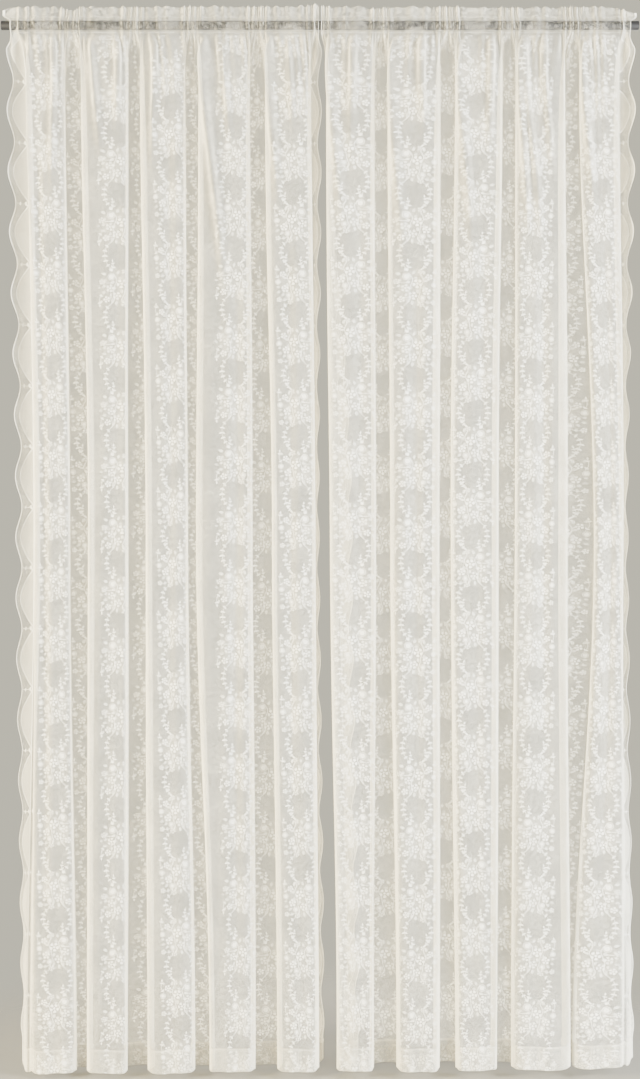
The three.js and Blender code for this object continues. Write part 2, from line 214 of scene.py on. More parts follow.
# Height of the ruffle's top along the rod, as (x, height above the axis)
RUFFLE_LINE = (
    (-0.743, 0.035), (-0.722, 0.043), (-0.620, 0.043), (-0.579, 0.034), (-0.560, 0.043),
    (-0.440, 0.042), (-0.300, 0.044), (-0.060, 0.043), (-0.008, 0.049), (0.020, 0.044),
    (0.090, 0.043), (0.128, 0.038), (0.160, 0.042), (0.300, 0.043), (0.440, 0.041),
    (0.680, 0.043), (0.715, 0.034), (0.742, 0.031),
)

# Soft creases on the fronts of the folds: which fold, the share of its width where the crease starts
# and ends, how far it stands forward, its half width, and the drops between which it runs
CREASE_START = 0.04
Crease = namedtuple("Crease", "fold start end rise half_width top low")
LEFT_CREASES = (
    Crease(0, 0.71, 0.62, 0.013, 0.007, 0.02, 0.44),
    Crease(0, 0.30, 0.34, -0.008, 0.012, 0.30, 2.40),
    Crease(0, 0.10, 0.22, 0.008, 0.008, 0.05, 0.78),
    Crease(1, 0.27, 0.43, 0.017, 0.007, 0.02, 0.34),
    Crease(1, 0.76, 0.72, 0.012, 0.007, 0.02, 0.26),
    Crease(1, 0.86, 0.84, 0.006, 0.006, 0.40, 2.30),
    Crease(2, 0.36, 0.30, 0.012, 0.007, 0.02, 0.39),
    Crease(2, 0.60, 0.55, -0.008, 0.014, 0.25, 1.90),
    Crease(3, 0.12, 0.50, 0.022, 0.009, 0.02, 0.68),
    Crease(3, 0.45, 0.62, 0.012, 0.007, 0.02, 0.31),
    Crease(3, 0.70, 0.62, -0.008, 0.013, 0.60, 2.40),
    Crease(4, 0.12, 0.30, 0.018, 0.008, 0.02, 0.47),
    Crease(4, 0.52, 0.60, 0.012, 0.007, 0.02, 0.29),
    Crease(4, 0.48, 0.40, -0.006, 0.012, 0.50, 2.30),
)
RIGHT_CREASES = (
    Crease(0, 0.12, 0.34, 0.018, 0.009, 0.02, 0.52),
    Crease(0, 0.55, 0.50, 0.012, 0.008, 0.02, 0.36),
    Crease(0, 0.66, 0.58, -0.008, 0.013, 0.40, 2.35),
    Crease(1, 0.12, 0.32, 0.016, 0.009, 0.02, 0.62),
    Crease(1, 0.60, 0.66, 0.012, 0.007, 0.02, 0.31),
    Crease(1, 0.50, 0.56, -0.008, 0.014, 0.55, 2.40),
    Crease(2, 0.12, 0.40, 0.016, 0.009, 0.02, 0.60),
    Crease(2, 0.72, 0.66, 0.012, 0.007, 0.02, 0.34),
    Crease(2, 0.60, 0.52, -0.006, 0.013, 0.50, 2.20),
    Crease(3, 0.12, 0.28, 0.018, 0.008, 0.02, 0.55),
    Crease(3, 0.20, 0.52, 0.013, 0.008, 0.02, 0.57),
    Crease(3, 0.53, 0.70, 0.013, 0.007, 0.02, 0.39),
    Crease(3, 0.52, 0.60, -0.008, 0.014, 0.60, 2.40),
    Crease(4, 0.12, 0.32, 0.018, 0.008, 0.02, 0.49),
    Crease(4, 0.55, 0.48, -0.006, 0.011, 0.50, 2.30),
)

# The garland, which repeats down the cloth. Its u counts from the garland's middle line, its v from the
# start of the repeat, and its turns are in degrees from +u towards +v.
GARLAND_PITCH = 0.149
GARLANDS = 9
FIRST_GARLAND = {"left": 0.129, "right": 0.159}
GARLAND_START = 0.092
GARLAND_INSET = 0.006
GARLAND_SWING = 0.036
GARLAND_TURN = 1.1
PATCH_DROP = 0.068
PATCH_HALF_WIDTH = 0.034
PATCH_HALF_HEIGHT = 0.043
PATCH_FILL = 0.06
LENS_FILL = 0.22
Bloom = namedtuple("Bloom", "u v petals radius inner heart turn")
BLOOMS = (
    Bloom(-0.006, 0.060, 5, 0.0104, 0.42, 0.0028, 12),
    Bloom(0.019, 0.071, 5, 0.0090, 0.42, 0.0024, 40),
    Bloom(-0.024, 0.079, 5, 0.0086, 0.42, 0.0023, -20),
    Bloom(0.004, 0.088, 5, 0.0092, 0.42, 0.0024, 30),
    Bloom(-0.029, 0.046, 5, 0.0072, 0.40, 0.0019, 5),
    Bloom(0.037, 0.056, 5, 0.0066, 0.40, 0.0016, 50),
    Bloom(0.027, 0.097, 5, 0.0074, 0.40, 0.0019, 0),
    Bloom(-0.012, 0.108, 5, 0.0068, 0.40, 0.0017, 20),
    Bloom(-0.038, 0.105, 5, 0.0056, 0.38, 0.0014, 65),
    Bloom(-0.012, 0.032, 5, 0.0060, 0.38, 0.0015, 35),
)
Round = namedtuple("Round", "u v disc ring")
ROUNDS = (
    Round(0.016, 0.044, 0.0058, 0.0086),
    Round(-0.040, 0.064, 0.0042, 0.0064),
    Round(-0.016, 0.094, 0.0040, 0.0062),
)
Leaf = namedtuple("Leaf", "u v length width turn bend")
LEAVES = (
    Leaf(0.028, 0.040, 0.0120, 0.0058, -30, 0.14),
    Leaf(0.014, 0.032, 0.0110, 0.0054, -78, -0.14),
    Leaf(0.004, 0.038, 0.0100, 0.0050, -125, 0.12),
    Leaf(0.002, 0.048, 0.0090, 0.0046, -160, -0.12),
    Leaf(-0.019, 0.040, 0.0100, 0.0050, -100, 0.12),
    Leaf(-0.036, 0.038, 0.0100, 0.0050, -130, -0.12),
    Leaf(-0.018, 0.054, 0.0095, 0.0048, 170, 0.16),
    Leaf(-0.016, 0.066, 0.0100, 0.0050, 140, -0.10),
    Leaf(-0.006, 0.073, 0.0100, 0.0052, 88, 0.10),
    Leaf(0.006, 0.068, 0.0100, 0.0050, 40, -0.10),
    Leaf(0.008, 0.056, 0.0110, 0.0054, 8, 0.12),
    Leaf(0.026, 0.054, 0.0090, 0.0046, -12, -0.12),
    Leaf(0.029, 0.064, 0.0090, 0.0046, 22, 0.12),
    Leaf(0.029, 0.080, 0.0110, 0.0054, 12, -0.12),
    Leaf(0.016, 0.083, 0.0090, 0.0046, 62, 0.10),
    Leaf(0.015, 0.095, 0.0100, 0.0050, 100, -0.10),
    Leaf(0.004, 0.100, 0.0105, 0.0052, 74, 0.10),
    Leaf(-0.006, 0.096, 0.0085, 0.0044, 118, -0.10),
    Leaf(-0.026, 0.090, 0.0095, 0.0048, 130, 0.12),
    Leaf(-0.034, 0.086, 0.0100, 0.0050, 172, -0.10),
    Leaf(-0.036, 0.074, 0.0085, 0.0042, 160, 0.10),
    Leaf(-0.026, 0.100, 0.0095, 0.0048, 84, 0.10),
    Leaf(0.036, 0.100, 0.0085, 0.0042, 30, 0.10),
    Leaf(0.040, 0.070, 0.0080, 0.0040, -6, -0.10),
)
Sprig = namedtuple("Sprig", "points pairs length width")
SPRIGS = (
    Sprig(
        ((-0.016, 0.112), (-0.027, 0.120), (-0.032, 0.134), (-0.028, 0.152), (-0.018, 0.166)),
        5, 0.0078, 0.0040,
    ),
    Sprig(
        ((0.018, 0.108), (0.027, 0.118), (0.031, 0.134), (0.028, 0.152), (0.018, 0.168)),
        5, 0.0078, 0.0040,
    ),
    Sprig(((0.037, 0.084), (0.043, 0.094), (0.043, 0.108)), 2, 0.0072, 0.0036),
    Sprig(((-0.038, 0.056), (-0.044, 0.046), (-0.043, 0.032)), 2, 0.0072, 0.0036),
    Sprig(((0.022, 0.032), (0.012, 0.022), (0.013, 0.010)), 3, 0.0070, 0.0034),
    Sprig(((-0.018, 0.026), (-0.024, 0.016), (-0.021, 0.004)), 3, 0.0070, 0.0034),
)
Stem = namedtuple("Stem", "points width")
STEMS = (
    Stem(
        ((0.014, 0.036), (0.004, 0.050), (0.008, 0.064), (0.012, 0.080), (0.010, 0.098), (0.018, 0.108)),
        0.0013,
    ),
    Stem(
        (
            (-0.012, 0.038), (-0.018, 0.052), (-0.012, 0.070), (-0.010, 0.086), (-0.006, 0.100),
            (-0.012, 0.108),
        ),
        0.0012,
    ),
    Stem(((-0.012, 0.070), (-0.018, 0.072), (-0.024, 0.079)), 0.0010),
    Stem(((0.010, 0.072), (0.014, 0.070), (0.019, 0.071)), 0.0010),
    Stem(((-0.018, 0.050), (-0.024, 0.046), (-0.029, 0.046)), 0.0010),
    Stem(((0.011, 0.094), (0.020, 0.093), (0.027, 0.097)), 0.0010),
    Stem(((-0.014, 0.100), (-0.026, 0.106), (-0.038, 0.105)), 0.0010),
    Stem(((0.016, 0.058), (0.026, 0.059), (0.037, 0.056)), 0.0010),
)
NOTCH_SPRIG = Sprig(((0.003, 0.0), (0.016, 0.0012), (0.030, -0.0010), (0.046, 0.0)), 4, 0.0072, 0.0034)

# Widths of threads in the garland, and the step along a stem
STALK_WIDTH = 0.001
RING_WIDTH = 0.0011
MIDRIB_GAP = 0.0011
STEM_STEP = 0.005
SPRIG_TURN = 54

# Resting heights above the net, so that what is worked on top of it lies on top
FILL_LIFT = 0.00028
STEM_LIFT = 0.00036
HEART_LIFT = 0.0007
CORD_LIFT = 0.0003

# How quickly the net closes up to the eye as it turns edge-on
SLANT_POWER = 1.5

# The net's thread in the ruffle and where the pocket is stretched round the rod, as a share of its thread
# below them
RUFFLE_THREAD = 0.4
POCKET_THREAD = 0.19

# Mesh steps
FINE_COLUMNS = 720
HEADING_STEP = 0.0046
UPPER_STEP = 0.0052
BODY_STEP = REPEAT / 7
GATHERED_DROP = 0.19
BODY_END = 2.37
CORD_STEP = 0.004

# Cords along the sides, and stitches
EDGE_CORD = 0.0016
ARC_CORD = 0.0012
LINE_CORD = 0.0011
CORD_RIDGE = 0.0007
STITCH_PITCH = 0.0032
STITCH_LENGTH = 0.0023
STITCH_WIDTH = 0.0007
STITCH_RIDGE = 0.0004
SEAM_INSET = 0.003

# Camera and stage, from the photo's frame of 640 by 1079 pixels at 2.345 mm a pixel
FRAME_HEIGHT = 2.530
EYE_HEIGHT = -1.2053
LENS = 70
SENSOR = 36
FLOOR_GAP = 0.012
FLOOR_RADIUS = 1.5
FLOOR_FADE = 0.75
BACKDROP_STRENGTH = 0.88
ROOM_STRENGTH = 0.7
Light = namedtuple("Light", "name place width height power colour")
LIGHTS = (
    Light("key_light", (-3.3, -2.8, -1.1), 1.8, 2.2, 1000, (1.0, 0.89, 0.62)),
    Light("fill_light", (2.9, -2.2, -1.3), 1.8, 2.2, 700, (0.94, 0.98, 1.0)),
    Light("back_light", (0.6, 2.8, 0.4), 2.4, 2.4, 150, (1.0, 0.97, 0.92)),
)


def soften(t):
    """0 to 1 with level ends."""
    t = np.clip(t, 0.0, 1.0)
    return t * t * (3 - 2 * t)


def blend(a, b, t):
    """From a at 0 to b at 1."""
    return a + (b - a) * t


def waver(u, waves):
    """A sum of waves across the cloth."""
    return sum(wave.size * np.sin(2 * np.pi * u / wave.length + wave.start) for wave in waves)


class Curve:
    """A smooth curve through the rows of a table, run on straight past its ends.

    A level one doesn't swing past its rows.
    """

    def __init__(self, at, values, level=False):
        self.at = np.asarray(at, float)
        self.values = np.asarray(values, float)
        self.step = np.diff(self.at)
        wide = self.step.reshape((-1,) + (1,) * (self.values.ndim - 1))
        slope = np.diff(self.values, axis=0) / wide
        if level:
            same = slope[:-1] * slope[1:] > 0
            total = np.where(same, slope[:-1] + slope[1:], 1.0)
            inner = np.where(same, 2 * slope[:-1] * slope[1:] / total, 0.0)
        else:
            inner = (slope[:-1] * wide[1:] + slope[1:] * wide[:-1]) / (wide[1:] + wide[:-1])
        self.tangent = np.concatenate((slope[:1], inner, slope[-1:]))

    def __call__(self, at):
        at = np.asarray(at, float)
        held = np.clip(at, self.at[0], self.at[-1])
        row = np.clip(np.searchsorted(self.at, held, side="right") - 1, 0, len(self.step) - 1)
        extra = (1,) * (self.values.ndim - 1)
        step = self.step[row].reshape(at.shape + extra)
        t = ((held - self.at[row]) / self.step[row]).reshape(at.shape + extra)
        past = (at - held).reshape(at.shape + extra)
        a, b = self.values[row], self.values[row + 1]
        ta, tb = self.tangent[row], self.tangent[row + 1]
        u = 1 - t
        leaving = u * u * ((1 + 2 * t) * a + t * step * ta)
        arriving = t * t * ((3 - 2 * t) * b - u * step * tb)
        return leaving + arriving + past * np.where(t > 0.5, tb, ta)


OPENING = Curve(OPENING_DROPS, OPENING_FORMS, level=True)
RUFFLE_HEIGHT = Curve(*zip(*RUFFLE_LINE), level=True)


def heading_curve():
    """The lines round the rod as a curve over v, and the v of each of them."""
    across = np.array([row.out + row.crimp * MEAN_CRIMP for row in HEADING])
    above = np.array([row.above for row in HEADING])
    lengths = np.hypot(np.diff(across), np.diff(above))
    at = SEAM_DROP - np.concatenate(([0.0], np.cumsum(lengths)))
    order = slice(None, None, -1)
    values = np.array([(row.above, row.out, row.crimp) for row in HEADING])
    return Curve(at[order], values[order], level=True), at


HEADING_CURVE, HEADING_AT = heading_curve()
CUT_START = HEADING_AT[-1]
CUT_END = HEM_DROP_LEFT + HEM_DEPTH + HEM_TURN


def height_weights(drop):
    """Shares of the top, mid and low rows of the fold tables at a drop."""
    upper = soften((drop - TOP_DROP) / (MID_DROP - TOP_DROP))
    lower = soften((drop - MID_DROP) / (LOW_DROP - MID_DROP))
    return 1 - upper, upper * (1 - lower), lower


def turned_drop(v, hem):
    """The drop of a place on the cloth, which is turned up at the hem and its raw edge turned under."""
    up = 2 * hem - v
    return np.where(v > hem + HEM_DEPTH, v - 2 * HEM_DEPTH, np.where(v > hem, up, v))


def scallop(drop, hem):
    """How far a scalloped side swells outwards at a drop."""
    start = np.clip((drop - FIRST_BULGE / 2) / (FIRST_BULGE / 2), 0, 1)
    wave = 0.5 + 0.5 * np.cos(2 * np.pi * (drop - FIRST_BULGE) / REPEAT)
    in_hem = np.clip((drop - hem + 1.5 * HEM_DEPTH) / (0.5 * HEM_DEPTH), 0, 1)
    return SCALLOP_DEPTH * start * blend(wave, HEM_SWELL, in_hem)


Column = namedtuple("Column", "part fold place hand")


class Cloth:
    """How one panel hangs: gives the point in the frame for any cloth coordinates."""

    def __init__(self, folds, left, right, creases):
        self.folds = folds
        self.sides = {-1: left, 1: right}
        self.creases = creases
        self.columns = self.list_columns()
        form = np.array([[self.fold_point(c, h) for h in range(3)] for c in self.columns])
        steps = np.linalg.norm(np.diff(form[:, 1:], axis=0), axis=2).mean(1)
        self.at = np.concatenate(([0.0], np.cumsum(steps))) * CUT_WIDTH / steps.sum()
        self.form = Curve(self.at, form.reshape(len(form), 6))
        on_rod = np.array([self.heading_point(i) for i in range(len(self.columns))])
        even = blend(left.pocket, right.pocket, self.at / CUT_WIDTH)
        on_rod[:, 0] = blend(on_rod[:, 0], even, EVEN_SHARE)
        self.on_rod = Curve(self.at, on_rod, level=True)

    def list_columns(self):
        """The places across the panel, left to right."""
        found = [Column("edge", 0, None, -1), Column("flap", 0, None, -1)]
        for fold in range(len(self.folds)):
            for step in range(0 if fold == 0 else 1, CROWN + 1):
                found.append(Column("fold", fold, HALF_FOLD[step], -1))
            for step in range(CROWN - 1, -1, -1):
                found.append(Column("fold", fold, HALF_FOLD[step], 1))
        last = len(self.folds) - 1
        return found + [Column("flap", last, None, 1), Column("edge", last, None, 1)]

    def neighbour(self, column):
        """The next fold on the column's hand, or None at a side of the panel."""
        at = column.fold + column.hand
        return self.folds[at] if 0 <= at < len(self.folds) else None

    def fold_point(self, column, height):
        """Where a column lies, as (x, y), at one of the tables' three heights."""
        side = self.sides[column.hand]
        edge, hollow = np.array(side.edge[height]), np.array(side.hollow[height])
        if column.part == "edge":
            return edge
        if column.part == "flap":
            return np.array((blend(edge[0], hollow[0], 0.5), blend(edge[1], hollow[1], 0.6)))
        fold, place, hand = self.folds[column.fold], column.place, column.hand
        beside = self.neighbour(column)
        left, right = fold[height]
        edge_x = left if hand < 0 else right
        if place.name == "hollow":
            if beside is None:
                return hollow
            next_x = beside[height][1] if hand < 0 else beside[height][0]
            return np.array(((edge_x + next_x) / 2, (fold.depth + beside.depth) / 4))
        half = (right - left) / 2
        x = edge_x - hand * half * place.inside + fold.lean * place.inside
        point = np.array((x, -fold.depth * place.forward))
        if beside is None and place.name in ("corner", "side"):
            along = 1 / 3 if place.name == "corner" else 2 / 3
            straight = blend(hollow, np.array((edge_x, -fold.depth * EDGE_PLACE.forward)), along)
            return blend(point, straight, side.flat[height])
        return point

    def is_edge(self, index):
        """True where a fold's front begins or ends."""
        column = self.columns[index]
        return column.part == "fold" and column.place.name == "edge"

    def heading_point(self, index):
        """Where a column stands along the rod, how far its crimp stands out, its overhang at the ruffle."""
        column = self.columns[index]
        side = self.sides[column.hand]
        if column.part == "edge":
            return side.pocket, EDGE_CRIMP, side.ruffle - side.pocket
        if column.part == "fold" and column.place.forward > 0:
            fold = self.folds[column.fold]
            along = (1 + column.hand * (1 - column.place.inside)) / 2
            ends = self.is_edge(index) and self.neighbour(column) is None
            strength = side.crimp if ends else fold.crimp
            return blend(*fold.top, along), column.place.crimp * strength, 0.0
        before = index
        while before > 0 and not self.is_edge(before):
            before -= 1
        after = index
        while after < len(self.columns) - 1 and not self.is_edge(after):
            after += 1
        at_left, at_right = before == 0, after == len(self.columns) - 1
        near, far = self.columns[before].fold, self.columns[after].fold
        start = self.sides[-1].pocket if at_left else self.folds[near].top[1]
        stop = self.sides[1].pocket if at_right else self.folds[far].top[0]
        if at_left or at_right:
            strength = self.sides[-1 if at_left else 1].crimp
        else:
            strength = (self.folds[near].crimp + self.folds[far].crimp) / 2
        ridge = FLAP_CRIMP if column.part == "flap" else column.place.crimp
        return blend(start, stop, (index - before) / (after - before)), ridge * strength, 0.0

    def front_edges(self, fold):
        """u of the left and right edges of a fold's front."""
        found = [
            self.at[i] for i, c in enumerate(self.columns) if self.is_edge(i) and c.fold == fold
        ]
        return found[0], found[-1]

    def gather(self, u, height):
        """Small gathers on the rod, 0 to 1, uneven in width, strength and lean."""
        pitch = bpy.context.scene.curtain_sizes.gather_pitch
        fast, slow = (waver(u, (wave,)) for wave in GATHER_UNEVEN)
        strength = blend(GATHER_LEAST, 1.0, (1 + fast * slow) / 2)
        lean = GATHER_LEAN * waver(u, GATHER_LEANS) * np.clip(height, -0.12, 0.05)
        wave = 0.5 + 0.5 * np.sin(2 * np.pi * u / pitch + waver(u, GATHER_DRIFT) + lean)
        return strength * wave**GATHER_SHARPNESS

    def hem_drop(self, u):
        """Drop of the hem's lower edge, lifted a little at the panel's corners."""
        x = self.form(u)[..., 4]
        along = np.clip((x + HALF_SPAN) / (2 * HALF_SPAN), 0, 1)
        beside = np.minimum(u, CUT_WIDTH - u)
        corner = np.clip(1 - beside / HEM_CORNER_WIDTH, 0, 1.5) ** 2
        lift = HEM_CORNER_LIFT * corner
        for fold in range(len(self.folds)):
            for edge in self.front_edges(fold):
                lift = lift + HEM_EDGE_LIFT * np.exp(-(((u - edge) / HEM_EDGE_WIDTH) ** 2))
        return blend(HEM_DROP_LEFT, HEM_DROP_RIGHT, along) + HEM_WAVER * waver(u, HEM_WAVES) - lift

    def lie(self, u, v):
        """The point at (u, v) without the cloth's small relief, and the drop there."""
        hem = self.hem_drop(u)
        drop = turned_drop(v, hem)
        top, mid, low = height_weights(drop)
        form = self.form(u)
        fold_x = top * form[..., 0] + mid * form[..., 2] + low * form[..., 4]
        fold_y = top * form[..., 1] + mid * form[..., 3] + low * form[..., 5]
        rod_x, crimp, overhang = np.moveaxis(self.on_rod(u), -1, 0)
        on_front = v >= SEAM_DROP
        above, out, share = np.moveaxis(HEADING_CURVE(np.clip(v, CUT_START, SEAM_DROP)), -1, 0)
        gather = self.gather(u, np.where(on_front, -drop, above))
        crimp = np.maximum(crimp, 0) + FINE_CRIMP * gather
        opened = OPENING(np.clip(drop, OPENING_DROPS[0], OPENING_DROPS[-1]))
        seam_y = HEADING[0].out + HEADING[0].crimp * crimp
        x = blend(rod_x, fold_x, 1 - (1 - opened) ** SPREAD_AHEAD)
        y = blend(seam_y, fold_y, opened)
        seam, top_line = HEADING[UPPER_SEAM].above, HEADING[RUFFLE_TOP].above
        heading_x = rod_x + overhang * soften((above - ROD_RADIUS / 2) / (1.5 * ROD_RADIUS))
        stretch = (RUFFLE_HEIGHT(heading_x) - seam) / (top_line - seam)
        above = np.where(above > seam, seam + (above - seam) * stretch, above)
        above = above + SEAM_WAVER * (gather - 0.4) * soften((above + ROD_RADIUS) / (2.5 * ROD_RADIUS))
        x = np.where(on_front, x, heading_x)
        y = np.where(on_front, y, out + share * crimp)
        z = np.where(on_front, -drop, above)
        return np.stack((x, y, z), axis=-1), drop, hem

    def relief(self, u, drop):
        """How far small gathers, creases and ripples stand out from the folds."""
        reach = blend(*GATHER_REACH, (1 + waver(u, GATHER_ENDS)) / 2)
        rise = soften((drop - SEAM_DROP) / (GATHER_FULL_DROP - SEAM_DROP))
        fall = np.exp(-np.maximum(0, drop - GATHER_FULL_DROP) / reach)
        found = GATHER_RISE * (self.gather(u, -drop) - 0.3) * rise * fall
        for crease in self.creases:
            left, right = self.front_edges(crease.fold)
            along = np.clip((drop - crease.top) / (crease.low - crease.top), 0, 1)
            middle = blend(left, right, blend(crease.start, crease.end, soften(along)))
            soft_end = soften((crease.low - drop) / (0.45 * (crease.low - crease.top)))
            shown = soften((drop - crease.top) / CREASE_START) * soft_end
            found = found + crease.rise * shown * np.exp(-(((u - middle) / crease.half_width) ** 2))
        fade_in = soften((drop - 0.25) / 0.5)
        ripple = np.sin(2 * np.pi * u / RIPPLE_LENGTH + 1.7 * np.sin(drop * 2.3 + u * 9))
        return found + RIPPLE * fade_in * ripple

    def point(self, u, v):
        """The point on the cloth at (u, v)."""
        step = 0.0005
        here, drop, hem = self.lie(u, v)
        after, before = self.lie(u + step, v)[0], self.lie(u - step, v)[0]
        across = (after - before)[..., :2]
        across /= np.maximum(np.linalg.norm(across, axis=-1, keepdims=True), 1e-9)
        front = np.stack((across[..., 1], -across[..., 0]), axis=-1)
        out = np.where(v >= SEAM_DROP, self.relief(u, drop), 0.0)
        layers = soften((v - hem) / 0.004) + 0.5 * soften((v - hem - HEM_DEPTH) / 0.002)
        out = out - HEM_LAYER_GAP * layers
        here[..., :2] += front * out[..., None]
        return here

    def frame_at(self, u, v):
        """The point at (u, v) and the cloth's normal there, on the side that faces the room at the front."""
        step = 0.0006
        here = self.point(u, v)
        across = self.point(u + step, v) - self.point(u - step, v)
        down = self.point(u, v + step) - self.point(u, v - step)
        normal = np.cross(down, across)
        normal /= np.maximum(np.linalg.norm(normal, axis=-1, keepdims=True), 1e-12)
        return here, normal


PANELS = {
    "left": Cloth(LEFT_FOLDS, LEFT_OUTER, LEFT_INNER, LEFT_CREASES),
    "right": Cloth(RIGHT_FOLDS, RIGHT_INNER, RIGHT_OUTER, RIGHT_CREASES),
}


class Flat:
    """Flat shapes in cloth coordinates, gathered into one mesh."""

    def __init__(self):
        self.points, self.lifts, self.faces, self.kinds, self.count = [], [], [], [], 0

    def add(self, points, faces, lift, kind=0):
        """Adds a shape. Its lift above the net and its kind of thread are one value or one for each row."""
        points = np.asarray(points, float)
        self.points.append(points)
        self.lifts.append(np.broadcast_to(np.asarray(lift, float), len(points)))
        self.faces.append(np.asarray(faces, int) + self.count)
        self.kinds.append(np.full(len(faces), kind))
        self.count += len(points)

    def joined(self):
        """All points, lifts, faces and kinds as arrays."""
        return (
            np.concatenate(self.points),
            np.concatenate(self.lifts),
            np.concatenate(self.faces),
            np.concatenate(self.kinds),
        )


def turned(points, u, v, degrees):
    """Points turned about the origin and moved to (u, v)."""
    a = math.radians(degrees)
    points = np.asarray(points, float)
    x = points[:, 0] * math.cos(a) - points[:, 1] * math.sin(a)
    y = points[:, 0] * math.sin(a) + points[:, 1] * math.cos(a)
    return np.stack((x + u, y + v), axis=1)


def add_blade(flat, u, v, length, width, degrees, bend=0.0, gap=0.0, kind=0):
    """A leaf, in two halves with a gap at its midrib where gap is given."""
    stations = ((0.0, 0.0), (0.30, 0.92), (0.66, 0.80), (1.0, 0.0))
    half = width / 2
    if gap == 0:
        outline = [(t * length, s * w * half) for t, w in stations for s in ((-1, 1) if w else (1,))]
        faces = [(0, 1, 2), (1, 3, 2), (2, 3, 4), (3, 5, 4)]
        outlines = [(outline, faces)]
    else:
        outlines = []
        for s in (-1, 1):
            rib = [(t * length, s * gap / 2) for t, w in stations]
            rim = [(t * length, s * w * half) for t, w in stations[1:-1]]
            outlines.append((rib + rim, [(0, 4, 1), (1, 4, 5), (1, 5, 2), (2, 5, 3)]))
    for outline, faces in outlines:
        points = np.array(outline)
        points[:, 1] += bend * length * (points[:, 0] / length) ** 2
        flat.add(turned(points, u, v, degrees), faces, FILL_LIFT, kind)


def add_bloom(flat, bloom, number):
    """A flower of rounded petals about a raised heart. Every second one is worked more openly."""
    half = math.pi / bloom.petals
    for petal in range(bloom.petals):
        spread = ((bloom.inner, 0.50), (0.70, 0.72), (0.92, 0.54))
        points = [
            (r * bloom.radius, s * math.tan(half * w) * r * bloom.radius)
            for r, w in spread
            for s in (-1, 1)
        ]
        points.append((bloom.radius, 0.0))
        faces = [(0, 2, 1), (1, 2, 3), (2, 4, 3), (3, 4, 5), (4, 6, 5)]
        turn = bloom.turn + 360 * petal / bloom.petals
        flat.add(turned(points, bloom.u, bloom.v, turn), faces, FILL_LIFT, kind=number % 2)
    add_disc(flat, bloom.u, bloom.v, bloom.heart)


def ring_points(u, v, radius, count):
    """Points round a circle."""
    angles = 2 * np.pi * np.arange(count) / count
    return np.stack((u + radius * np.cos(angles), v + radius * np.sin(angles)), axis=1)


def add_disc(flat, u, v, radius):
    """A small domed disc."""
    count = 12 if radius > 0.004 else 7
    points = np.vstack(([(u, v)], ring_points(u, v, radius, count)))
    faces = [(0, 1 + i, 1 + (i + 1) % count) for i in range(count)]
    lifts = np.full(count + 1, FILL_LIFT + 0.0001)
    lifts[0] = HEART_LIFT
    flat.add(points, faces, lifts)


def add_ring(flat, u, v, inner, outer, count=14):
    """A flat ring."""
    points = np.vstack((ring_points(u, v, inner, count), ring_points(u, v, outer, count)))
    faces = []
    for i in range(count):
        j = (i + 1) % count
        faces += [(i, count + i, count + j), (i, count + j, j)]
    flat.add(points, faces, STEM_LIFT)


def smooth_path(points, step):
    """Points along a smooth curve through the given ones, about a step apart."""
    points = np.asarray(points, float)
    at = np.concatenate(([0.0], np.cumsum(np.linalg.norm(np.diff(points, axis=0), axis=1))))
    count = max(2, int(round(at[-1] / step)) + 1)
    return Curve(at, points)(np.linspace(0, at[-1], count))


def add_ribbon(flat, path, width, lift, ridge=0.0, kind=0):
    """A thread or cord along a path, flat, or ridged along its middle."""
    along = np.gradient(path, axis=0)
    along /= np.maximum(np.linalg.norm(along, axis=1, keepdims=True), 1e-12)
    side = np.stack((-along[:, 1], along[:, 0]), axis=1) * width / 2
    count = len(path)
    first = np.arange(count - 1)
    if ridge:
        points = np.concatenate((path - side, path, path + side))
        lifts = np.concatenate((np.full(count, lift), np.full(count, lift + ridge), np.full(count, lift)))
        starts = (0, count)
    else:
        points = np.concatenate((path - side, path + side))
        lifts = np.full(2 * count, lift)
        starts = (0,)
    faces = []
    for start in starts:
        a, b = start + first, start + first + count
        faces += [np.stack((a, a + 1, b), 1), np.stack((a + 1, b + 1, b), 1)]
    flat.add(points, np.concatenate(faces), lifts, kind)


def add_sprig(flat, sprig, du=0.0, dv=0.0, mirror=1):
    """A curved stalk with leaves to either side and one at its tip."""
    points = np.array(sprig.points) * (mirror, 1) + (du, dv)
    path = smooth_path(points, STEM_STEP)
    add_ribbon(flat, path, STALK_WIDTH, STEM_LIFT)
    spots = np.linspace(0.14, 0.84, sprig.pairs) * (len(path) - 1)
    for count, spot in enumerate(spots):
        row = min(int(spot), len(path) - 2)
        at = blend(path[row], path[row + 1], spot - row)
        way = path[row + 1] - path[row]
        turn = math.degrees(math.atan2(way[1], way[0]))
        size = 1 - 0.25 * abs(2 * count / (sprig.pairs - 1) - 1)
        for hand in (-1, 1):
            shape = (sprig.length * size, sprig.width * size, turn + SPRIG_TURN * hand, 0.12 * hand)
            add_blade(flat, *at, *shape)
    way = path[-1] - path[-2]
    add_blade(flat, *path[-1], sprig.length, sprig.width, math.degrees(math.atan2(way[1], way[0])))


def garland_repeat():
    """One repeat of the garland: its flowers, leaves and stalks."""
    flat = Flat()
    for number, bloom in enumerate(BLOOMS):
        add_bloom(flat, bloom, number)
    for flower in ROUNDS:
        add_disc(flat, flower.u, flower.v, flower.disc)
        add_ring(flat, flower.u, flower.v, flower.ring - RING_WIDTH, flower.ring)
    for number, leaf in enumerate(LEAVES):
        shape = (leaf.length, leaf.width, leaf.turn, leaf.bend)
        add_blade(flat, leaf.u, leaf.v, *shape, gap=MIDRIB_GAP, kind=number % 2)
    for sprig in SPRIGS:
        add_sprig(flat, sprig)
    for stem in STEMS:
        add_ribbon(flat, smooth_path(stem.points, STEM_STEP), stem.width, STEM_LIFT)
    return flat.joined()


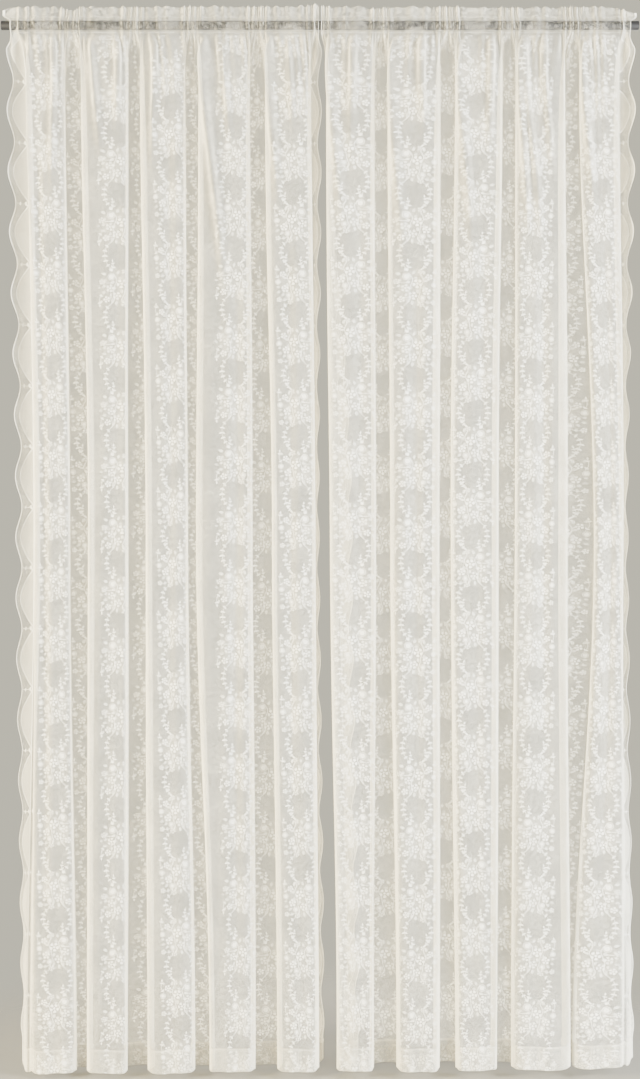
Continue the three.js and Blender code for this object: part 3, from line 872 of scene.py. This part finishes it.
def garland_shapes(first):
    """All garlands of one panel, from the pocket down to the hem's edge. First is the first one's u."""
    points, lifts, faces, kinds = garland_repeat()
    start = GARLAND_START - REPEAT
    rows = math.ceil((HEM_DROP_LEFT + HEM_DEPTH - start) / REPEAT)
    flat = Flat()
    for garland in range(GARLANDS):
        mirror = -1 if garland // 2 % 2 else 1
        lower = GARLAND_SWING * math.sin(garland * GARLAND_TURN)
        for row in range(rows + 1):
            at = (first + garland * GARLAND_PITCH, start + row * REPEAT + lower)
            moved = points * (mirror, 1) + at
            end = HEM_DROP_RIGHT + HEM_DEPTH - GARLAND_INSET
            inside = (moved[:, 1] > SEAM_DROP + GARLAND_INSET) & (moved[:, 1] < end)
            kept = inside[faces].all(axis=1)
            if kept.any():
                used, places = np.unique(faces[kept], return_inverse=True)
                flat.add(moved[used], places.reshape(-1, 3), lifts[used], kinds[kept])
    return flat.joined()


def edging_shapes():
    """Cords along both scalloped sides: the edge itself, the arcs inside it and the straight line."""
    flat = Flat()
    low_end = HEM_DROP_RIGHT - 0.004
    drops = np.arange(-0.05, low_end, CORD_STEP)
    swell = scallop(drops, HEM_DROP_RIGHT)
    wave = np.clip(swell / SCALLOP_DEPTH, 0, 1)
    for hand in (-1, 1):
        def side(inward):
            return np.stack((inward if hand < 0 else CUT_WIDTH - inward, drops), axis=1)

        add_ribbon(flat, side(CORD_RIDGE - swell), EDGE_CORD, CORD_LIFT, ridge=CORD_RIDGE)
        add_ribbon(flat, side(BORDER_LINE - ARC_REACH * wave**0.75), ARC_CORD, STEM_LIFT)
        add_ribbon(flat, side(np.full(len(drops), BORDER_LINE)), LINE_CORD, STEM_LIFT)
        for notch in np.arange(FIRST_BULGE + REPEAT / 2, low_end - 0.02, REPEAT):
            add_sprig(flat, NOTCH_SPRIG, 0.0 if hand < 0 else CUT_WIDTH, notch, mirror=-hand)
    return flat.joined()


def seam_shapes(cloth):
    """Stitches of the two heading seams and the hem, on the front and the back of the cloth."""
    flat = Flat()
    spots = np.arange(0.004, CUT_WIDTH - 0.006, STITCH_PITCH)
    hem = cloth.hem_drop(spots)
    lines = (
        HEADING_AT[UPPER_SEAM], SEAM_DROP + 0.0005, hem - HEM_DEPTH + SEAM_INSET,
        HEADING_AT[-1 - UPPER_SEAM], CUT_START + SEAM_INSET, hem + HEM_DEPTH - SEAM_INSET,
    )
    for line in lines:
        for start in np.stack((spots, np.broadcast_to(line, len(spots))), axis=1):
            path = np.stack((start, start + (STITCH_LENGTH, 0.0)))
            add_ribbon(flat, path, STITCH_WIDTH, CORD_LIFT, ridge=STITCH_RIDGE)
    return flat.joined()


def lace_piece(name, cloth, u, v, lift, faces, materials, kinds=None):
    """A piece of lace that lies on a panel's cloth, with its cloth coordinates as a UV map."""
    if np.any(lift):
        here, normal = cloth.frame_at(u, v)
        here = here + normal * np.asarray(lift)[:, None]
    else:
        here = cloth.point(u, v)
    mesh = bpy.data.meshes.new(name)
    mesh.from_pydata(here.tolist(), [], [f for block in faces for f in block.tolist()])
    corners = np.zeros(len(mesh.loops), int)
    mesh.loops.foreach_get("vertex_index", corners)
    cut = mesh.uv_layers.new(name="Cloth")
    cut.uv.foreach_set("vector", np.stack((u, v), 1)[corners].astype(np.float32).ravel())
    low, high = np.array((-0.03, CUT_START)), np.array((CUT_WIDTH + 0.03, CUT_END + 0.01))
    square = (np.stack((u, v), 1) - low) / (high - low)
    whole = mesh.uv_layers.new(name="OFBake")
    whole.uv.foreach_set("vector", square[corners].astype(np.float32).ravel())
    for material in materials:
        mesh.materials.append(material)
    if kinds is not None:
        mesh.polygons.foreach_set("material_index", kinds.astype(np.int32))
    mesh.polygons.foreach_set("use_smooth", np.ones(len(mesh.polygons), bool))
    mesh.update()
    made = bpy.data.objects.new(name, mesh)
    bpy.context.scene.collection.objects.link(made)
    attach(made, "root")
    return made


def worked_piece(name, cloth, shapes, materials):
    """A piece made of flat shapes that are worked or sewn on the cloth."""
    points, lifts, faces, kinds = shapes
    return lace_piece(name, cloth, *points.T, lifts, [faces], materials, kinds)


def sheet_rows(cloth, u):
    """v of each row of the sheet across the given u, and how many rows have all columns."""
    heading = list(np.arange(CUT_START, SEAM_DROP, HEADING_STEP))
    top = HEADING_AT[RUFFLE_TOP]
    heading += [top - 0.0012, top, top + 0.0012]
    upper = list(np.arange(SEAM_DROP, GATHERED_DROP, UPPER_STEP))
    rows = [np.full(len(u), v) for v in sorted(heading) + upper]
    fine = len(rows)
    first = FIRST_BULGE + REPEAT
    rows += [np.full(len(u), v) for v in np.arange(first, BODY_END, BODY_STEP)]
    hem = cloth.hem_drop(u)
    last = rows[-1][0]
    seam, edge = hem - HEM_DEPTH, hem + HEM_DEPTH
    stretches = (
        (last, seam, (0.5, 0.93, 1.0)), (seam, hem, (0.25, 0.55, 0.85, 0.96, 1.0)),
        (hem, edge, (0.02, 0.08, 0.4, 0.7, 1.0)), (edge, edge + HEM_TURN, (0.25, 1.0)),
    )
    rows += [blend(start, stop, share) for start, stop, shares in stretches for share in shares]
    return rows, fine


def sheet_mesh(cloth):
    """Cloth coordinates and faces of a panel's sheet, with half as many columns below its gathers."""
    fine_u = np.linspace(0, CUT_WIDTH, FINE_COLUMNS + 1)
    rows, fine = sheet_rows(cloth, fine_u)
    u_all, v_all, starts, counts, total = [], [], [], [], 0
    for number, v in enumerate(rows):
        pick = slice(None) if number < fine else slice(None, None, 2)
        u, v = fine_u[pick], v[pick]
        hem = cloth.hem_drop(u)
        swell = scallop(turned_drop(v, hem), hem)
        u = u - swell * np.clip(1 - u / SIDE_EASE, 0, 1)
        u = u + swell * np.clip(1 - (CUT_WIDTH - u) / SIDE_EASE, 0, 1) * (u > CUT_WIDTH / 2)
        u_all.append(u)
        v_all.append(v)
        starts.append(total)
        counts.append(len(u))
        total += len(u)
    quads, triangles = [], []
    for number in range(len(rows) - 1):
        a, b = starts[number], starts[number + 1]
        if counts[number] == counts[number + 1]:
            i = np.arange(counts[number] - 1)
            quads.append(np.stack((a + i, b + i, b + i + 1, a + i + 1), 1))
        else:
            k = np.arange(counts[number + 1] - 1)
            left, middle, right = a + 2 * k, a + 2 * k + 1, a + 2 * k + 2
            triangles.append(np.stack((left, b + k, middle), 1))
            triangles.append(np.stack((middle, b + k, b + k + 1), 1))
            triangles.append(np.stack((middle, b + k + 1, right), 1))
    return np.concatenate(u_all), np.concatenate(v_all), quads + triangles


class Tree:
    """Adds nodes to a node tree in short calls."""

    def __init__(self, tree):
        self.tree = tree

    def add(self, kind, inputs=None, **settings):
        """A node with its settings and inputs, each a value or another node's output."""
        node = self.tree.nodes.new(kind)
        for name, value in settings.items():
            setattr(node, name, value)
        for name, value in (inputs or {}).items():
            if isinstance(value, bpy.types.NodeSocket):
                self.link(value, node.inputs[name])
            else:
                node.inputs[name].default_value = value
        return node

    def link(self, source, target):
        """Joins an output to an input."""
        self.tree.links.new(source, target)

    def math(self, operation, *values, clamp=False):
        """A Math node's result."""
        inputs = dict(enumerate(values))
        return self.add("ShaderNodeMath", inputs, operation=operation, use_clamp=clamp).outputs[0]

    def vector(self, operation, *values):
        """A Vector Math node's vector."""
        return self.add("ShaderNodeVectorMath", dict(enumerate(values)), operation=operation).outputs[0]

    def dot(self, a, b):
        """The dot product of two vectors."""
        return self.add("ShaderNodeVectorMath", {0: a, 1: b}, operation="DOT_PRODUCT").outputs["Value"]

    def ramp(self, value, low, high, start=0.0, stop=1.0):
        """A value moved smoothly from one range to another."""
        inputs = {"Value": value, "From Min": low, "From Max": high, "To Min": start, "To Max": stop}
        return self.add("ShaderNodeMapRange", inputs, interpolation_type="SMOOTHSTEP").outputs["Result"]

    def noise(self, place, scale, detail, roughness=0.5):
        """Soft noise, 0 to 1."""
        inputs = {"Vector": place, "Scale": scale, "Detail": detail, "Roughness": roughness}
        return self.add("ShaderNodeTexNoise", inputs).outputs[0]

    def mix(self, factor, first, second):
        """A colour between two others."""
        return self.add("ShaderNodeMix", {"Factor": factor, 6: first, 7: second}, data_type="RGBA").outputs[2]

    def cloth(self):
        """The place on the cloth."""
        return self.add("ShaderNodeUVMap", uv_map="Cloth").outputs[0]


def new_group(name, inputs, outputs):
    """A shader node group with named sockets, and its tree helper, input node and output node."""
    group = bpy.data.node_groups.new(name, "ShaderNodeTree")
    for label, kind, value in inputs:
        socket = group.interface.new_socket(name=label, in_out="INPUT", socket_type=kind)
        if value is not None:
            socket.default_value = value
    for label, kind in outputs:
        group.interface.new_socket(name=label, in_out="OUTPUT", socket_type=kind)
    tree = Tree(group)
    return group, tree, tree.add("NodeGroupInput"), tree.add("NodeGroupOutput")


FLOAT, VECTOR, COLOUR = "NodeSocketFloat", "NodeSocketVector", "NodeSocketColor"


def net_group():
    """Six-sided holes between knitted threads. Fill closes the holes."""
    group, tree, given, out = new_group(
        "Net weave",
        [("Cloth", VECTOR, None), ("Pitch", FLOAT, 0.002), ("Thread", FLOAT, 0.24), ("Fill", FLOAT, 0.0)],
        [("Cover", FLOAT), ("Height", FLOAT)],
    )
    root = math.sqrt(3)
    cells = {0: given.outputs["Cloth"], "Scale": tree.math("DIVIDE", 1.0, given.outputs["Pitch"])}
    place = tree.add("ShaderNodeVectorMath", cells, operation="SCALE").outputs[0]
    high, low = (0.5, root / 2, 1.0), (-0.5, -root / 2, -1.0)
    one = tree.vector("WRAP", place, high, low)
    two = tree.vector("WRAP", tree.vector("ADD", place, (0.5, root / 2, 0.0)), high, low)
    nearer = tree.math("LESS_THAN", tree.dot(one, one), tree.dot(two, two))
    cell = tree.add("ShaderNodeMix", {"Factor": nearer, 4: two, 5: one}, data_type="VECTOR")
    corner = tree.vector("ABSOLUTE", cell.outputs[1])
    slant = tree.dot(corner, (0.5, root / 2, 0.0))
    across = tree.dot(corner, (1.0, 0.0, 0.0))
    depth = tree.math("SUBTRACT", 0.5, tree.math("MAXIMUM", slant, across))
    open_share = tree.math("SUBTRACT", 1.0, given.outputs["Thread"])
    width = tree.math("MULTIPLY_ADD", given.outputs["Fill"], open_share, given.outputs["Thread"])
    half = tree.math("MULTIPLY", width, 0.5)
    inner, outer = tree.math("SUBTRACT", half, 0.03), tree.math("ADD", half, 0.03)
    cover = tree.ramp(depth, inner, outer, 1.0, 0.0)
    height = tree.ramp(depth, 0.0, outer, 1.0, 0.0)
    tree.link(cover, out.inputs["Cover"])
    tree.link(height, out.inputs["Height"])
    return group


def border_group():
    """Closer net in the lens-shaped patches beside the scallops, and in the middle of each garland."""
    group, tree, given, out = new_group(
        "Worked patches", [("Cloth", VECTOR, None), ("First Garland", FLOAT, 0.13)], [("Fill", FLOAT)]
    )
    parts = tree.add("ShaderNodeSeparateXYZ", {0: given.outputs["Cloth"]})
    u, v = parts.outputs["X"], parts.outputs["Y"]
    inward = tree.math("MINIMUM", u, tree.math("SUBTRACT", CUT_WIDTH, u))
    turn = tree.math("MULTIPLY", tree.math("SUBTRACT", v, FIRST_BULGE), 2 * math.pi / REPEAT)
    wave = tree.math("MULTIPLY_ADD", tree.math("COSINE", turn), 0.5, 0.5)
    reach = tree.math("MULTIPLY", tree.math("POWER", wave, 0.75), -ARC_REACH)
    arc = tree.math("ADD", reach, BORDER_LINE)
    past_arc = tree.ramp(tree.math("SUBTRACT", inward, arc), 0.0, 0.0008)
    before_line = tree.ramp(tree.math("SUBTRACT", BORDER_LINE, inward), 0.0, 0.0008)
    lens = tree.math("MULTIPLY", past_arc, before_line)
    half_pitch, half_repeat = GARLAND_PITCH / 2, REPEAT / 2
    from_first = tree.math("SUBTRACT", u, given.outputs["First Garland"])
    x = tree.math("WRAP", from_first, half_pitch, -half_pitch)
    number = tree.math("ROUND", tree.math("DIVIDE", from_first, GARLAND_PITCH))
    first_patch = tree.math("SUBTRACT", v, GARLAND_START + PATCH_DROP)
    swing = tree.math("SINE", tree.math("MULTIPLY", number, GARLAND_TURN))
    from_patch = tree.math("MULTIPLY_ADD", swing, -GARLAND_SWING, first_patch)
    y = tree.math("WRAP", from_patch, half_repeat, -half_repeat)
    wide = tree.math("POWER", tree.math("DIVIDE", x, PATCH_HALF_WIDTH), 2.0)
    tall = tree.math("POWER", tree.math("DIVIDE", y, PATCH_HALF_HEIGHT), 2.0)
    patch = tree.ramp(tree.math("ADD", wide, tall), 0.8, 1.15, 1.0, 0.0)
    within = tree.math("MULTIPLY", patch, tree.math("GREATER_THAN", inward, BORDER_LINE))
    lens_fill = tree.math("MULTIPLY", lens, LENS_FILL)
    patch_fill = tree.math("MULTIPLY", within, PATCH_FILL)
    tree.link(tree.math("MAXIMUM", lens_fill, patch_fill), out.inputs["Fill"])
    return group


def thread_group():
    """Uneven tone of cotton thread, from cloth-wide drifts down to single threads."""
    group, tree, given, out = new_group(
        "Thread tone",
        [("Place", VECTOR, None), ("Pale", COLOUR, None), ("Deep", COLOUR, None), ("Unevenness", FLOAT, 0.5)],
        [("Colour", COLOUR), ("Dullness", FLOAT)],
    )
    drift = tree.noise(given.outputs["Place"], 2.2, 3.0)
    grain = tree.noise(given.outputs["Place"], 420.0, 2.0)
    both = tree.math("MULTIPLY_ADD", drift, 0.6, tree.math("MULTIPLY", grain, 0.4))
    spread = tree.ramp(both, 0.3, 0.7)
    amount = tree.math("MULTIPLY", spread, given.outputs["Unevenness"], clamp=True)
    tree.link(tree.mix(amount, given.outputs["Pale"], given.outputs["Deep"]), out.inputs["Colour"])
    tree.link(tree.ramp(grain, 0.3, 0.7, 0.78, 0.95), out.inputs["Dullness"])
    return group


def fill_group():
    """Closely worked threads laid side by side, with small gaps between them."""
    group, tree, given, out = new_group(
        "Worked threads",
        [("Cloth", VECTOR, None), ("Pitch", FLOAT, 0.0009), ("Openness", FLOAT, 0.2)],
        [("Cover", FLOAT), ("Height", FLOAT)],
    )
    parts = tree.add("ShaderNodeSeparateXYZ", {0: given.outputs["Cloth"]})
    rows = tree.math("DIVIDE", parts.outputs["Y"], given.outputs["Pitch"])
    slip = tree.math("MULTIPLY", tree.math("FLOOR", rows), 0.5)
    across = tree.math("ADD", tree.math("DIVIDE", parts.outputs["X"], given.outputs["Pitch"]), slip)
    row_wave = tree.math("ABSOLUTE", tree.math("SINE", tree.math("MULTIPLY", rows, math.pi)))
    loop_wave = tree.math("ABSOLUTE", tree.math("SINE", tree.math("MULTIPLY", across, math.pi)))
    height = tree.math("MULTIPLY", row_wave, tree.math("MULTIPLY_ADD", loop_wave, 0.5, 0.5))
    edge = tree.math("ADD", given.outputs["Openness"], 0.12)
    tree.link(tree.ramp(height, given.outputs["Openness"], edge), out.inputs["Cover"])
    tree.link(height, out.inputs["Height"])
    return group


def wear_group():
    """Faint rub marks and dust on smooth paint, as masks."""
    group, tree, given, out = new_group(
        "Paint wear", [("Place", VECTOR, None), ("Amount", FLOAT, 0.5)], [("Rubbed", FLOAT), ("Grain", FLOAT)]
    )
    along = tree.vector("MULTIPLY", given.outputs["Place"], (0.15, 1.0, 1.0))
    rub = tree.ramp(tree.noise(along, 90.0, 5.0, 0.6), 0.55, 0.75)
    tree.link(tree.math("MULTIPLY", rub, given.outputs["Amount"], clamp=True), out.inputs["Rubbed"])
    tree.link(tree.noise(given.outputs["Place"], 900.0, 2.0), out.inputs["Grain"])
    return group


def new_material(name):
    """A material with one Principled shader, and its tree helper, shader and place on the object."""
    material = bpy.data.materials.new(name)
    material.use_nodes = True
    tree = Tree(material.node_tree)
    shader = material.node_tree.nodes["Principled BSDF"]
    place = tree.add("ShaderNodeTexCoord").outputs["Object"]
    return material, tree, shader, place


def use_group(tree, name, maker, inputs):
    """A node group placed in a material. The group is built once."""
    return tree.add("ShaderNodeGroup", inputs, node_tree=bpy.data.node_groups.get(name) or maker())


def thread_finish(tree, shader, place, pale, deep, unevenness):
    """Colour and dullness of matt cotton thread."""
    inputs = {"Place": place, "Pale": pale, "Deep": deep, "Unevenness": unevenness}
    tone = use_group(tree, "Thread tone", thread_group, inputs)
    tree.link(tone.outputs["Colour"], shader.inputs["Base Color"])
    tree.link(tone.outputs["Dullness"], shader.inputs["Roughness"])
    shader.inputs["Specular IOR Level"].default_value = 0.25
    shader.inputs["Sheen Weight"].default_value = 0.12
    shader.inputs["Sheen Roughness"].default_value = 0.5


def raise_surface(tree, shader, height, distance, strength):
    """Bump from a height."""
    bump = tree.add("ShaderNodeBump", {"Height": height, "Distance": distance, "Strength": strength})
    tree.link(bump.outputs[0], shader.inputs["Normal"])


def net_material(side):
    """Sheer net with its closer-worked patches."""
    sizes, colours = bpy.context.scene.curtain_sizes, bpy.context.scene.curtain_colours
    material, tree, shader, place = new_material(f"Lace net, {side}")
    cloth = tree.cloth()
    inputs = {"Cloth": cloth, "First Garland": FIRST_GARLAND[side]}
    patches = use_group(tree, "Worked patches", border_group, inputs)
    facing = tree.math("SUBTRACT", 1.0, tree.add("ShaderNodeLayerWeight").outputs["Facing"])
    narrowed = tree.math("POWER", facing, SLANT_POWER)
    slanted = tree.math("DIVIDE", sizes.net_thread, tree.math("MAXIMUM", narrowed, sizes.net_thread))
    drift = tree.ramp(tree.noise(cloth, 14.0, 3.0), 0.3, 0.7, 0.82, 1.18)
    slanted = tree.math("MULTIPLY", slanted, drift)
    down = tree.add("ShaderNodeSeparateXYZ", {0: cloth}).outputs["Y"]
    stretched = tree.ramp(down, -SEAM_DROP, -ROD_RADIUS, RUFFLE_THREAD, POCKET_THREAD)
    bunched = tree.ramp(tree.noise(cloth, 120.0, 2.0), 0.38, 0.62, 0.3, 2.4)
    stretched = tree.math("MULTIPLY", stretched, bunched)
    gathered = tree.ramp(down, ROD_RADIUS, 2 * SEAM_DROP, 0.0, 1.0 - POCKET_THREAD)
    slanted = tree.math("MULTIPLY", slanted, tree.math("ADD", stretched, gathered))
    fill = patches.outputs["Fill"]
    inputs = {"Cloth": cloth, "Pitch": sizes.net_pitch, "Thread": slanted, "Fill": fill}
    net = use_group(tree, "Net weave", net_group, inputs)
    thread_finish(tree, shader, place, colours.net_pale, colours.net_deep, 0.6)
    tree.link(net.outputs["Cover"], shader.inputs["Alpha"])
    raise_surface(tree, shader, net.outputs["Height"], 0.0004, 0.5)
    return material


def thread_material(name, pitch, openness=0.0):
    """Closely worked thread of petals and leaves or, where nothing is open, cord and sewing thread."""
    colours = bpy.context.scene.curtain_colours
    material, tree, shader, place = new_material(name)
    inputs = {"Cloth": tree.cloth(), "Pitch": pitch, "Openness": openness}
    worked = use_group(tree, "Worked threads", fill_group, inputs)
    unevenness, distance, strength = (0.5, 0.0003, 0.7) if openness else (0.4, 0.0002, 0.6)
    thread_finish(tree, shader, place, colours.flower_pale, colours.flower_deep, unevenness)
    if openness:
        tree.link(worked.outputs["Cover"], shader.inputs["Alpha"])
    raise_surface(tree, shader, worked.outputs["Height"], distance, strength)
    return material


def rod_material():
    """Dark grey satin paint on steel tube."""
    colours = bpy.context.scene.curtain_colours
    material, tree, shader, place = new_material("Satin rod paint")
    wear = use_group(tree, "Paint wear", wear_group, {"Place": place, "Amount": 0.5})
    rubbed = wear.outputs["Rubbed"]
    tree.link(tree.mix(rubbed, colours.rod_paint, colours.rod_rubbed), shader.inputs["Base Color"])
    tree.link(tree.ramp(rubbed, 0.0, 0.5, 0.42, 0.28), shader.inputs["Roughness"])
    shader.inputs["Metallic"].default_value = 0.2
    shader.inputs["Coat Weight"].default_value = 0.15
    raise_surface(tree, shader, wear.outputs["Grain"], 0.0002, 0.25)
    return material


def floor_material():
    """Plain pale floor that fades out round the curtains."""
    colours = bpy.context.scene.curtain_colours
    material, tree, shader, place = new_material("Pale floor")
    from_middle = tree.add("ShaderNodeVectorMath", {0: place}, operation="LENGTH").outputs["Value"]
    shown = tree.ramp(from_middle, FLOOR_FADE, FLOOR_RADIUS * 0.97, 1.0, 0.0)
    tree.link(shown, shader.inputs["Alpha"])
    darker = [c * 0.97 for c in colours.floor[:3]] + [1.0]
    tree.link(tree.mix(tree.noise(place, 6.0, 3.0), colours.floor, darker), shader.inputs["Base Color"])
    shader.inputs["Roughness"].default_value = 0.85
    return material


def size_setting(label, description, default, **limits):
    """A size or share that a user may change."""
    return bpy.props.FloatProperty(name=label, description=description, default=default, **limits)


def colour_setting(label, description, default):
    """A colour that a user may change."""
    return bpy.props.FloatVectorProperty(
        name=label, description=description, default=(*default, 1.0), size=4, subtype="COLOR"
    )


class CurtainSizes(bpy.types.PropertyGroup):
    """Sizes of the lace that a user may change."""

    net_pitch: size_setting("Net pitch", "Distance between the net's holes", 0.002, unit="LENGTH")
    net_thread: size_setting(
        "Net thread", "Thread width as a share of the net's pitch", 0.13, min=0.05, max=0.9, subtype="FACTOR"
    )
    fill_pitch: size_setting("Thread pitch", "Distance between threads in a petal", 0.0009, unit="LENGTH")
    gather_pitch: size_setting("Gather pitch", "Cloth in one small gather on the rod", 0.029, unit="LENGTH")


class CurtainColours(bpy.types.PropertyGroup):
    """Colours of the lace, the rod and the stage."""

    net_pale: colour_setting("Net", "Lighter net thread", (0.88, 0.835, 0.69))
    net_deep: colour_setting("Net shade", "Deeper net thread", (0.80, 0.75, 0.59))
    flower_pale: colour_setting("Flowers", "Lighter flower thread", (0.93, 0.905, 0.81))
    flower_deep: colour_setting("Flower shade", "Deeper flower thread", (0.87, 0.835, 0.71))
    rod_paint: colour_setting("Rod paint", "Paint of the rod", (0.022, 0.022, 0.023))
    rod_rubbed: colour_setting("Rubbed paint", "Paint where it is rubbed", (0.09, 0.09, 0.092))
    floor: colour_setting("Floor", "Floor under the curtains", (0.25, 0.238, 0.20))
    backdrop: colour_setting("Backdrop", "Plain ground behind the curtains", (0.82, 0.785, 0.62))
    room: colour_setting("Room", "Soft light from all round", (0.95, 0.95, 0.93))


class CURTAIN_OT_hang_lace(bpy.types.Operator):
    """Makes both sheets of lace net, gathered on the rod and fallen in folds"""

    bl_idname = "curtain.hang_lace"
    bl_label = "Hang lace"

    def execute(self, context):
        for side, cloth in PANELS.items():
            u, v, faces = sheet_mesh(cloth)
            panel = lace_piece(f"{side}_lace", cloth, u, v, 0.0, faces, [net_material(side)])
            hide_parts(f"{side}_panel")
        return {"FINISHED"}


class CURTAIN_OT_work_flowers(bpy.types.Operator):
    """Works the flower garlands on both panels"""

    bl_idname = "curtain.work_flowers"
    bl_label = "Work flowers"

    def execute(self, context):
        pitch = context.scene.curtain_sizes.fill_pitch
        close = thread_material("Close flower thread", pitch, 0.10)
        opener = thread_material("Open flower thread", pitch * 1.5, 0.36)
        for side, cloth in PANELS.items():
            shapes = garland_shapes(FIRST_GARLAND[side])
            worked_piece(f"{side}_flowers", cloth, shapes, [close, opener])
        return {"FINISHED"}


class CURTAIN_OT_sew_edging(bpy.types.Operator):
    """Lays the cords along the scalloped sides"""

    bl_idname = "curtain.sew_edging"
    bl_label = "Sew edging"

    def execute(self, context):
        material = thread_material("Edging cord", 0.0012)
        for side, cloth in PANELS.items():
            worked_piece(f"{side}_edging", cloth, edging_shapes(), [material])
        return {"FINISHED"}


class CURTAIN_OT_sew_seams(bpy.types.Operator):
    """Stitches the pocket, the ruffle and the hem"""

    bl_idname = "curtain.sew_seams"
    bl_label = "Sew seams"

    def execute(self, context):
        material = thread_material("Sewing thread", 0.0006)
        for side, cloth in PANELS.items():
            worked_piece(f"{side}_seams", cloth, seam_shapes(cloth), [material])
        return {"FINISHED"}


class CURTAIN_OT_paint_rod(bpy.types.Operator):
    """Paints the rod"""

    bl_idname = "curtain.paint_rod"
    bl_label = "Paint rod"

    def execute(self, context):
        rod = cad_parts["rod"]
        material = rod_material()
        if not rod.material_slots:
            rod.data.materials.append(material)
        for slot in rod.material_slots:
            slot.material = material
        return {"FINISHED"}


def area_light(row, target):
    """A large soft light aimed at a point."""
    light = bpy.data.lights.new(row.name, "AREA")
    light.shape = "RECTANGLE"
    light.size, light.size_y = row.width, row.height
    light.energy = row.power
    light.color = row.colour
    lamp = bpy.data.objects.new(row.name, light)
    lamp.location = row.place
    lamp.rotation_euler = (Vector(target) - Vector(row.place)).to_track_quat("-Z", "Y").to_euler()
    bpy.context.scene.collection.objects.link(lamp)


class CURTAIN_OT_set_stage(bpy.types.Operator):
    """Makes the floor, the plain ground, the soft lights and the camera"""

    bl_idname = "curtain.set_stage"
    bl_label = "Set stage"

    def execute(self, context):
        colours = context.scene.curtain_colours
        mesh = bpy.data.meshes.new("floor")
        rings, count = 6, 72
        points = [(0.0, 0.0, 0.0)]
        for ring in range(1, rings + 1):
            around = ring_points(0.0, 0.0, FLOOR_RADIUS * ring / rings, count)
            points += [(x, y, 0.0) for x, y in around.tolist()]
        faces = [(0, 1 + i, 1 + (i + 1) % count) for i in range(count)]
        for ring in range(rings - 1):
            a, b = 1 + ring * count, 1 + (ring + 1) * count
            faces += [(a + i, b + i, b + (i + 1) % count, a + (i + 1) % count) for i in range(count)]
        mesh.from_pydata(points, [], faces)
        mesh.materials.append(floor_material())
        floor = bpy.data.objects.new("floor", mesh)
        floor.location.z = CAD_LOW.z - FLOOR_GAP
        context.scene.collection.objects.link(floor)

        world = bpy.data.worlds.new("Plain ground")
        world.use_nodes = True
        tree = Tree(world.node_tree)
        shown = world.node_tree.nodes["Background"]
        shown.inputs["Color"].default_value = colours.backdrop
        shown.inputs["Strength"].default_value = BACKDROP_STRENGTH
        around = tree.add("ShaderNodeBackground", {"Color": colours.room, "Strength": ROOM_STRENGTH})
        seen = tree.add("ShaderNodeLightPath").outputs["Is Camera Ray"]
        both = tree.add("ShaderNodeMixShader", {0: seen, 1: around.outputs[0], 2: shown.outputs[0]})
        world.node_tree.links.new(both.outputs[0], world.node_tree.nodes["World Output"].inputs["Surface"])
        context.scene.world = world

        middle = (0.0, 0.0, EYE_HEIGHT)
        for light in LIGHTS:
            area_light(light, middle)

        camera = bpy.data.cameras.new("camera")
        camera.lens = LENS
        camera.sensor_width = SENSOR
        eye = bpy.data.objects.new("camera", camera)
        eye.location = (0.0, -FRAME_HEIGHT * LENS / SENSOR, EYE_HEIGHT)
        eye.rotation_euler = (math.pi / 2, 0.0, 0.0)
        context.scene.collection.objects.link(eye)
        context.scene.camera = eye
        return {"FINISHED"}


STEPS = (
    CURTAIN_OT_set_stage,
    CURTAIN_OT_paint_rod,
    CURTAIN_OT_hang_lace,
    CURTAIN_OT_work_flowers,
    CURTAIN_OT_sew_edging,
    CURTAIN_OT_sew_seams,
)


class CURTAIN_PT_make(bpy.types.Panel):
    """Lists the curtain's steps, sizes and colours"""

    bl_idname = "CURTAIN_PT_make"
    bl_label = "Lace curtains"
    bl_space_type = "VIEW_3D"
    bl_region_type = "UI"
    bl_category = "Curtain"

    def draw(self, context):
        layout = self.layout
        for step in STEPS:
            layout.operator(step.bl_idname)
        for values in (context.scene.curtain_sizes, context.scene.curtain_colours):
            for name in values.bl_rna.properties.keys():
                if name not in ("rna_type", "name"):
                    layout.prop(values, name)


CLASSES = (CurtainSizes, CurtainColours, *STEPS, CURTAIN_PT_make)


def register():
    """Adds the classes and the scene's settings."""
    for made in CLASSES:
        bpy.utils.register_class(made)
    bpy.types.Scene.curtain_sizes = bpy.props.PointerProperty(type=CurtainSizes)
    bpy.types.Scene.curtain_colours = bpy.props.PointerProperty(type=CurtainColours)


def unregister():
    """Takes them away again."""
    del bpy.types.Scene.curtain_colours
    del bpy.types.Scene.curtain_sizes
    for made in reversed(CLASSES):
        bpy.utils.unregister_class(made)


def main():
    """Makes every piece in order."""
    register()
    for step in STEPS:
        group, name = step.bl_idname.split(".")
        getattr(getattr(bpy.ops, group), name)()


if __name__ == "__main__":
    main()
